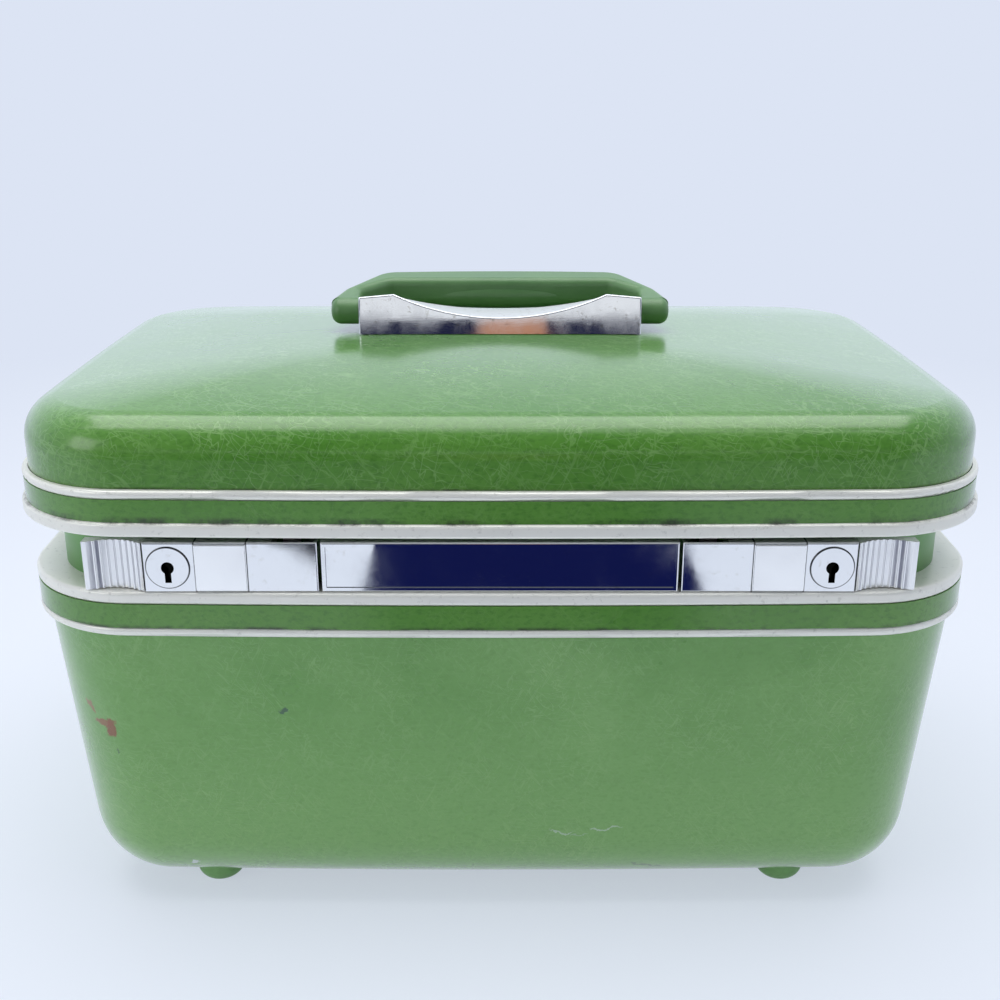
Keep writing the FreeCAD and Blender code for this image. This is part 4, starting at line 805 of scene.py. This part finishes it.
@dataclass
class Studio:
    """Pale floor and surround, soft light, and the camera at the photograph's place."""

    lens_mm: float = 45.0
    sensor_mm: float = 36.0
    clip_start: float = 0.01
    camera_back: float = 0.50026
    camera_height: float = 0.3084
    camera_pitch_deg: float = 19.26
    wall_tone: str = "#dce4f4"
    ceiling_tone: str = "#aab3c3"
    floor_tone: str = "#edf1f8"
    near_tone: str = "#e8effd"
    surround_strength: float = 0.78
    front_share: float = 0.24
    # The surround's directions, from front to back and from level to overhead, over which its light changes
    light_span: tuple[float, float] = (-0.9, 0.1)
    gleam_span: tuple[float, float] = (-0.9, 0.3)
    ceiling_span: tuple[float, float] = (0.45, 0.98)
    front_gleam: float = 0.18
    back_gleam: float = 1.3
    floor_half: float = 4.0
    shadow_lift: float = 0.6
    fade_start: float = 0.30
    fade_end: float = 1.00
    cards: tuple[Card, ...] = (
        Card("navy_card", "#12184a", level_card(0.002, (
            (-0.083, -0.34), (-0.086, -0.60), (-1.0, -0.60), (-1.0, -2.0),
            (1.0, -2.0), (1.0, -0.60), (0.125, -0.60), (0.125, -0.34)))),
        Card("corner_card", "#0e0f1c", level_card(0.003, (
            (-0.166, -0.524), (-0.158, -0.500), (-0.138, -0.490), (-0.124, -0.472),
            (-0.1165, -0.450), (-0.1255, -0.524)))),
        Card("low_card", "#1b1f3c", upright_card(-1.5, (
            (-1.2, 0.02), (1.2, 0.02), (1.2, 0.296), (-1.2, 0.284)))),
        Card("warm_card", "#b98468", upright_card(-1.49, (
            (-0.08, 0.02), (0.10, 0.02), (0.07, 0.292), (-0.03, 0.288)))),
        Card("pale_card", "#eff2f7", upright_card(-1.51, (
            (-0.7, 0.26), (0.7, 0.26), (0.7, 0.42), (-0.7, 0.42)))),
    )
    lamps: tuple[Lamp, ...] = (
        Lamp("top_light", (0.0, 0.12, 1.9), (0.0, 0.0, 0.1), (2.2, 1.4), 29.5),
        Lamp("front_strip", (-0.1, -0.45, 1.15), (0.0, 0.0, 0.2), (1.7, 0.12), 1.2),
        Lamp("left_fill", (-0.65, -0.55, 0.42), (0.0, -0.1, 0.1), (0.35, 0.35), 0.9),
    )

    def add_sheet(self, name: str, corners: list[tuple[float, float, float]],
                  material: bpy.types.Material) -> bpy.types.Object:
        """Add one flat sheet of the studio.

        Args:
            name: Name of the sheet.
            corners: Its corners in order.
            material: Its finish.

        Returns:
            The sheet.
        """
        mesh = bpy.data.meshes.new(name)
        mesh.from_pydata(corners, [], [tuple(range(len(corners)))])
        mesh.materials.append(material)
        sheet = bpy.data.objects.new(name, mesh)
        bpy.context.scene.collection.objects.link(sheet)
        return sheet

    def seen_rays(self, tree: bpy.types.NodeTree) -> bpy.types.NodeSocket:
        """One for rays that show a surface to the camera or in metal and glass, and zero for rays that light.

        Args:
            tree: Tree that needs the value.

        Returns:
            The value's socket.
        """
        rays = add(tree, "ShaderNodeLightPath").outputs
        seen = add(tree, "ShaderNodeMath", {"operation": "MAXIMUM"}, {
            0: rays["Is Camera Ray"], 1: rays["Is Glossy Ray"]}).outputs[0]
        return add(tree, "ShaderNodeMath", {"operation": "MAXIMUM"}, {
            0: seen, 1: rays["Is Transmission Ray"]}).outputs[0]

    def build_floor(self) -> None:
        """Pale paper that takes the shadow near the case and melts into the surround farther off."""
        material = new_material("studio_paper")
        tree = material.node_tree
        place = add(tree, "ShaderNodeTexCoord").outputs["Object"]
        far = add(tree, "ShaderNodeVectorMath", {"operation": "LENGTH"}, {0: place}).outputs["Value"]
        melt = add(tree, "ShaderNodeMapRange", {"interpolation_type": "SMOOTHSTEP"}, {
            0: far, 1: self.fade_start, 2: self.fade_end, 3: self.shadow_lift, 4: 1.0}).outputs[0]
        share = add(tree, "ShaderNodeMath", {"operation": "MULTIPLY"}, {
            0: melt, 1: self.seen_rays(tree)}).outputs[0]
        paper = add(tree, "ShaderNodeBsdfPrincipled", None, {
            "Base Color": linear(self.floor_tone), "Roughness": 0.9, "Specular IOR Level": 0.1})
        off = add(tree, "ShaderNodeMapRange", None, {
            0: far, 1: self.fade_start, 2: self.fade_end, 3: 0.0, 4: 1.0}).outputs[0]
        tone = add(tree, "ShaderNodeMix", {"data_type": "RGBA"}, {
            0: off, 6: linear(self.near_tone), 7: linear(self.wall_tone)}).outputs[2]
        glow = add(tree, "ShaderNodeEmission", None, {"Color": tone, "Strength": 1.0})
        shader = add(tree, "ShaderNodeMixShader", None, {0: share, 1: paper.outputs[0], 2: glow.outputs[0]})
        add(tree, "ShaderNodeOutputMaterial", None, {"Surface": shader.outputs[0]})
        half = self.floor_half
        self.add_sheet("studio_floor", [(-half, -half, 0.0), (half, -half, 0.0), (half, half, 0.0),
                                        (-half, half, 0.0)], material)

    def build_cards(self) -> None:
        """Two cards on the floor in front, and three that stand behind the camera."""
        for card in self.cards:
            material = new_material(card.name)
            tree = material.node_tree
            glow = add(tree, "ShaderNodeEmission", None, {"Color": linear(card.tone), "Strength": 1.0})
            add(tree, "ShaderNodeOutputMaterial", None, {"Surface": glow.outputs[0]})
            sheet = self.add_sheet(card.name, list(card.corners), material)
            sheet.visible_camera = False
            sheet.visible_diffuse = False
            sheet.visible_shadow = False

    def build_lamps(self) -> None:
        """A broad light overhead, a narrow one in front of it and a small one from the left front."""
        for lamp in self.lamps:
            light = bpy.data.lights.new(lamp.name, "AREA")
            light.shape = "RECTANGLE"
            light.size, light.size_y = lamp.size
            light.energy = lamp.power
            holder = bpy.data.objects.new(lamp.name, light)
            holder.location = lamp.place
            facing = Vector(lamp.aim) - Vector(lamp.place)
            holder.rotation_euler = facing.to_track_quat("-Z", "Y").to_euler()
            holder.visible_camera = False
            bpy.context.scene.collection.objects.link(holder)

    def build_surround(self) -> None:
        """A pale surround with a darker ceiling, dimmer in front."""
        world = bpy.data.worlds.new("surround")
        world.use_nodes = True
        tree = world.node_tree
        tree.nodes.clear()
        way = add(tree, "ShaderNodeTexCoord").outputs["Generated"]
        parts = add(tree, "ShaderNodeSeparateXYZ", None, {0: way}).outputs
        dim = add(tree, "ShaderNodeMapRange", None, {
            0: parts["Y"], 1: self.light_span[0], 2: self.light_span[1],
            3: self.front_share, 4: 1.0}).outputs[0]
        level = add(tree, "ShaderNodeMath", {"operation": "MULTIPLY"}, {
            0: dim, 1: self.surround_strength}).outputs[0]
        climb = add(tree, "ShaderNodeMapRange", {"interpolation_type": "SMOOTHSTEP"}, {
            0: parts["Z"], 1: self.ceiling_span[0], 2: self.ceiling_span[1], 3: 0.0, 4: 1.0}).outputs[0]
        tone = add(tree, "ShaderNodeMix", {"data_type": "RGBA"}, {
            0: climb, 6: linear(self.wall_tone), 7: linear(self.ceiling_tone)}).outputs[2]
        lighting = add(tree, "ShaderNodeBackground", None, {"Color": tone, "Strength": level})
        gleam = add(tree, "ShaderNodeMapRange", None, {
            0: parts["Y"], 1: self.gleam_span[0], 2: self.gleam_span[1],
            3: self.front_gleam, 4: self.back_gleam}).outputs[0]
        mirrored = add(tree, "ShaderNodeBackground", None, {"Color": tone, "Strength": gleam})
        shown = add(tree, "ShaderNodeBackground", None, {"Color": linear(self.wall_tone), "Strength": 1.0})
        mixed = add(tree, "ShaderNodeMixShader", None, {
            0: self.seen_rays(tree), 1: lighting.outputs[0], 2: mirrored.outputs[0]})
        mixed = add(tree, "ShaderNodeMixShader", None, {
            0: add(tree, "ShaderNodeLightPath").outputs["Is Camera Ray"],
            1: mixed.outputs[0], 2: shown.outputs[0]})
        add(tree, "ShaderNodeOutputWorld", None, {"Surface": mixed.outputs[0]})
        bpy.context.scene.world = world

    def build_camera(self) -> None:
        """Camera on the middle plane, in front of the case and looking a little down."""
        camera = bpy.data.cameras.new("camera")
        camera.lens = self.lens_mm
        camera.sensor_width = self.sensor_mm
        camera.clip_start = self.clip_start
        holder = bpy.data.objects.new("camera", camera)
        holder.location = (0.0, -self.camera_back, self.camera_height)
        holder.rotation_euler = (math.radians(90.0 - self.camera_pitch_deg), 0.0, 0.0)
        bpy.context.scene.collection.objects.link(holder)
        bpy.context.scene.camera = holder

    def build(self) -> None:
        """Build the whole studio."""
        bpy.context.scene.view_settings.view_transform = "Standard"
        self.build_floor()
        self.build_cards()
        self.build_lamps()
        self.build_surround()
        self.build_camera()


def main() -> None:
    """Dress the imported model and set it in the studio."""
    logging.basicConfig(level=logging.INFO)
    lid_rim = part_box("lid_band")[0][2]
    base_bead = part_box("base_band")[0][2]
    # Aluminium, drawn and lightly oxidised: pale, with a soft gloss and lines along its length
    aluminium = BrightMetal("drawn_aluminium", "#f3f2e9", "#8e8d82", (0.30, 0.42), Direction.ALONG_X,
                            dirt_and_shade_lines=(DirtAndShadeLine(lid_rim, half_height=0.5 * MM),), metallic=0.22).build()
    # Chromium plate, polished: a clear mirror with faint smudges
    chrome = BrightMetal("polished_chrome", CHROME, CHROME_STAIN, (0.03, 0.10), Direction.ALONG_X,
                         hairline_mm=1.2, hairline_depth_mm=0.002, pitting=0.25).build()
    # Zinc-plated steel: dull grey with patchy gloss
    steel = BrightMetal("zinc_plated_steel", "#bdbcb5", "#7d7768", (0.28, 0.45), Direction.EVEN).build()
    # Leathercloth, pulled tight between two edges: its creases hardly show
    band = GrainedVinyl("band_vinyl", crease_show=0.1, relief_mm=0.05, dirt_and_shade_lines=(
        DirtAndShadeLine(lid_rim + 0.6 * MM, half_height=1.3 * MM), DirtAndShadeLine(base_bead))).build()
    for assembly in (CaseBase(aluminium, band, steel), CaseLid(aluminium, band, steel),
                     LatchStrip(chrome, steel), CarryHandle(steel), Interior()):
        assembly.dress()
    Studio().build()


if __name__ == "__main__":
    main()
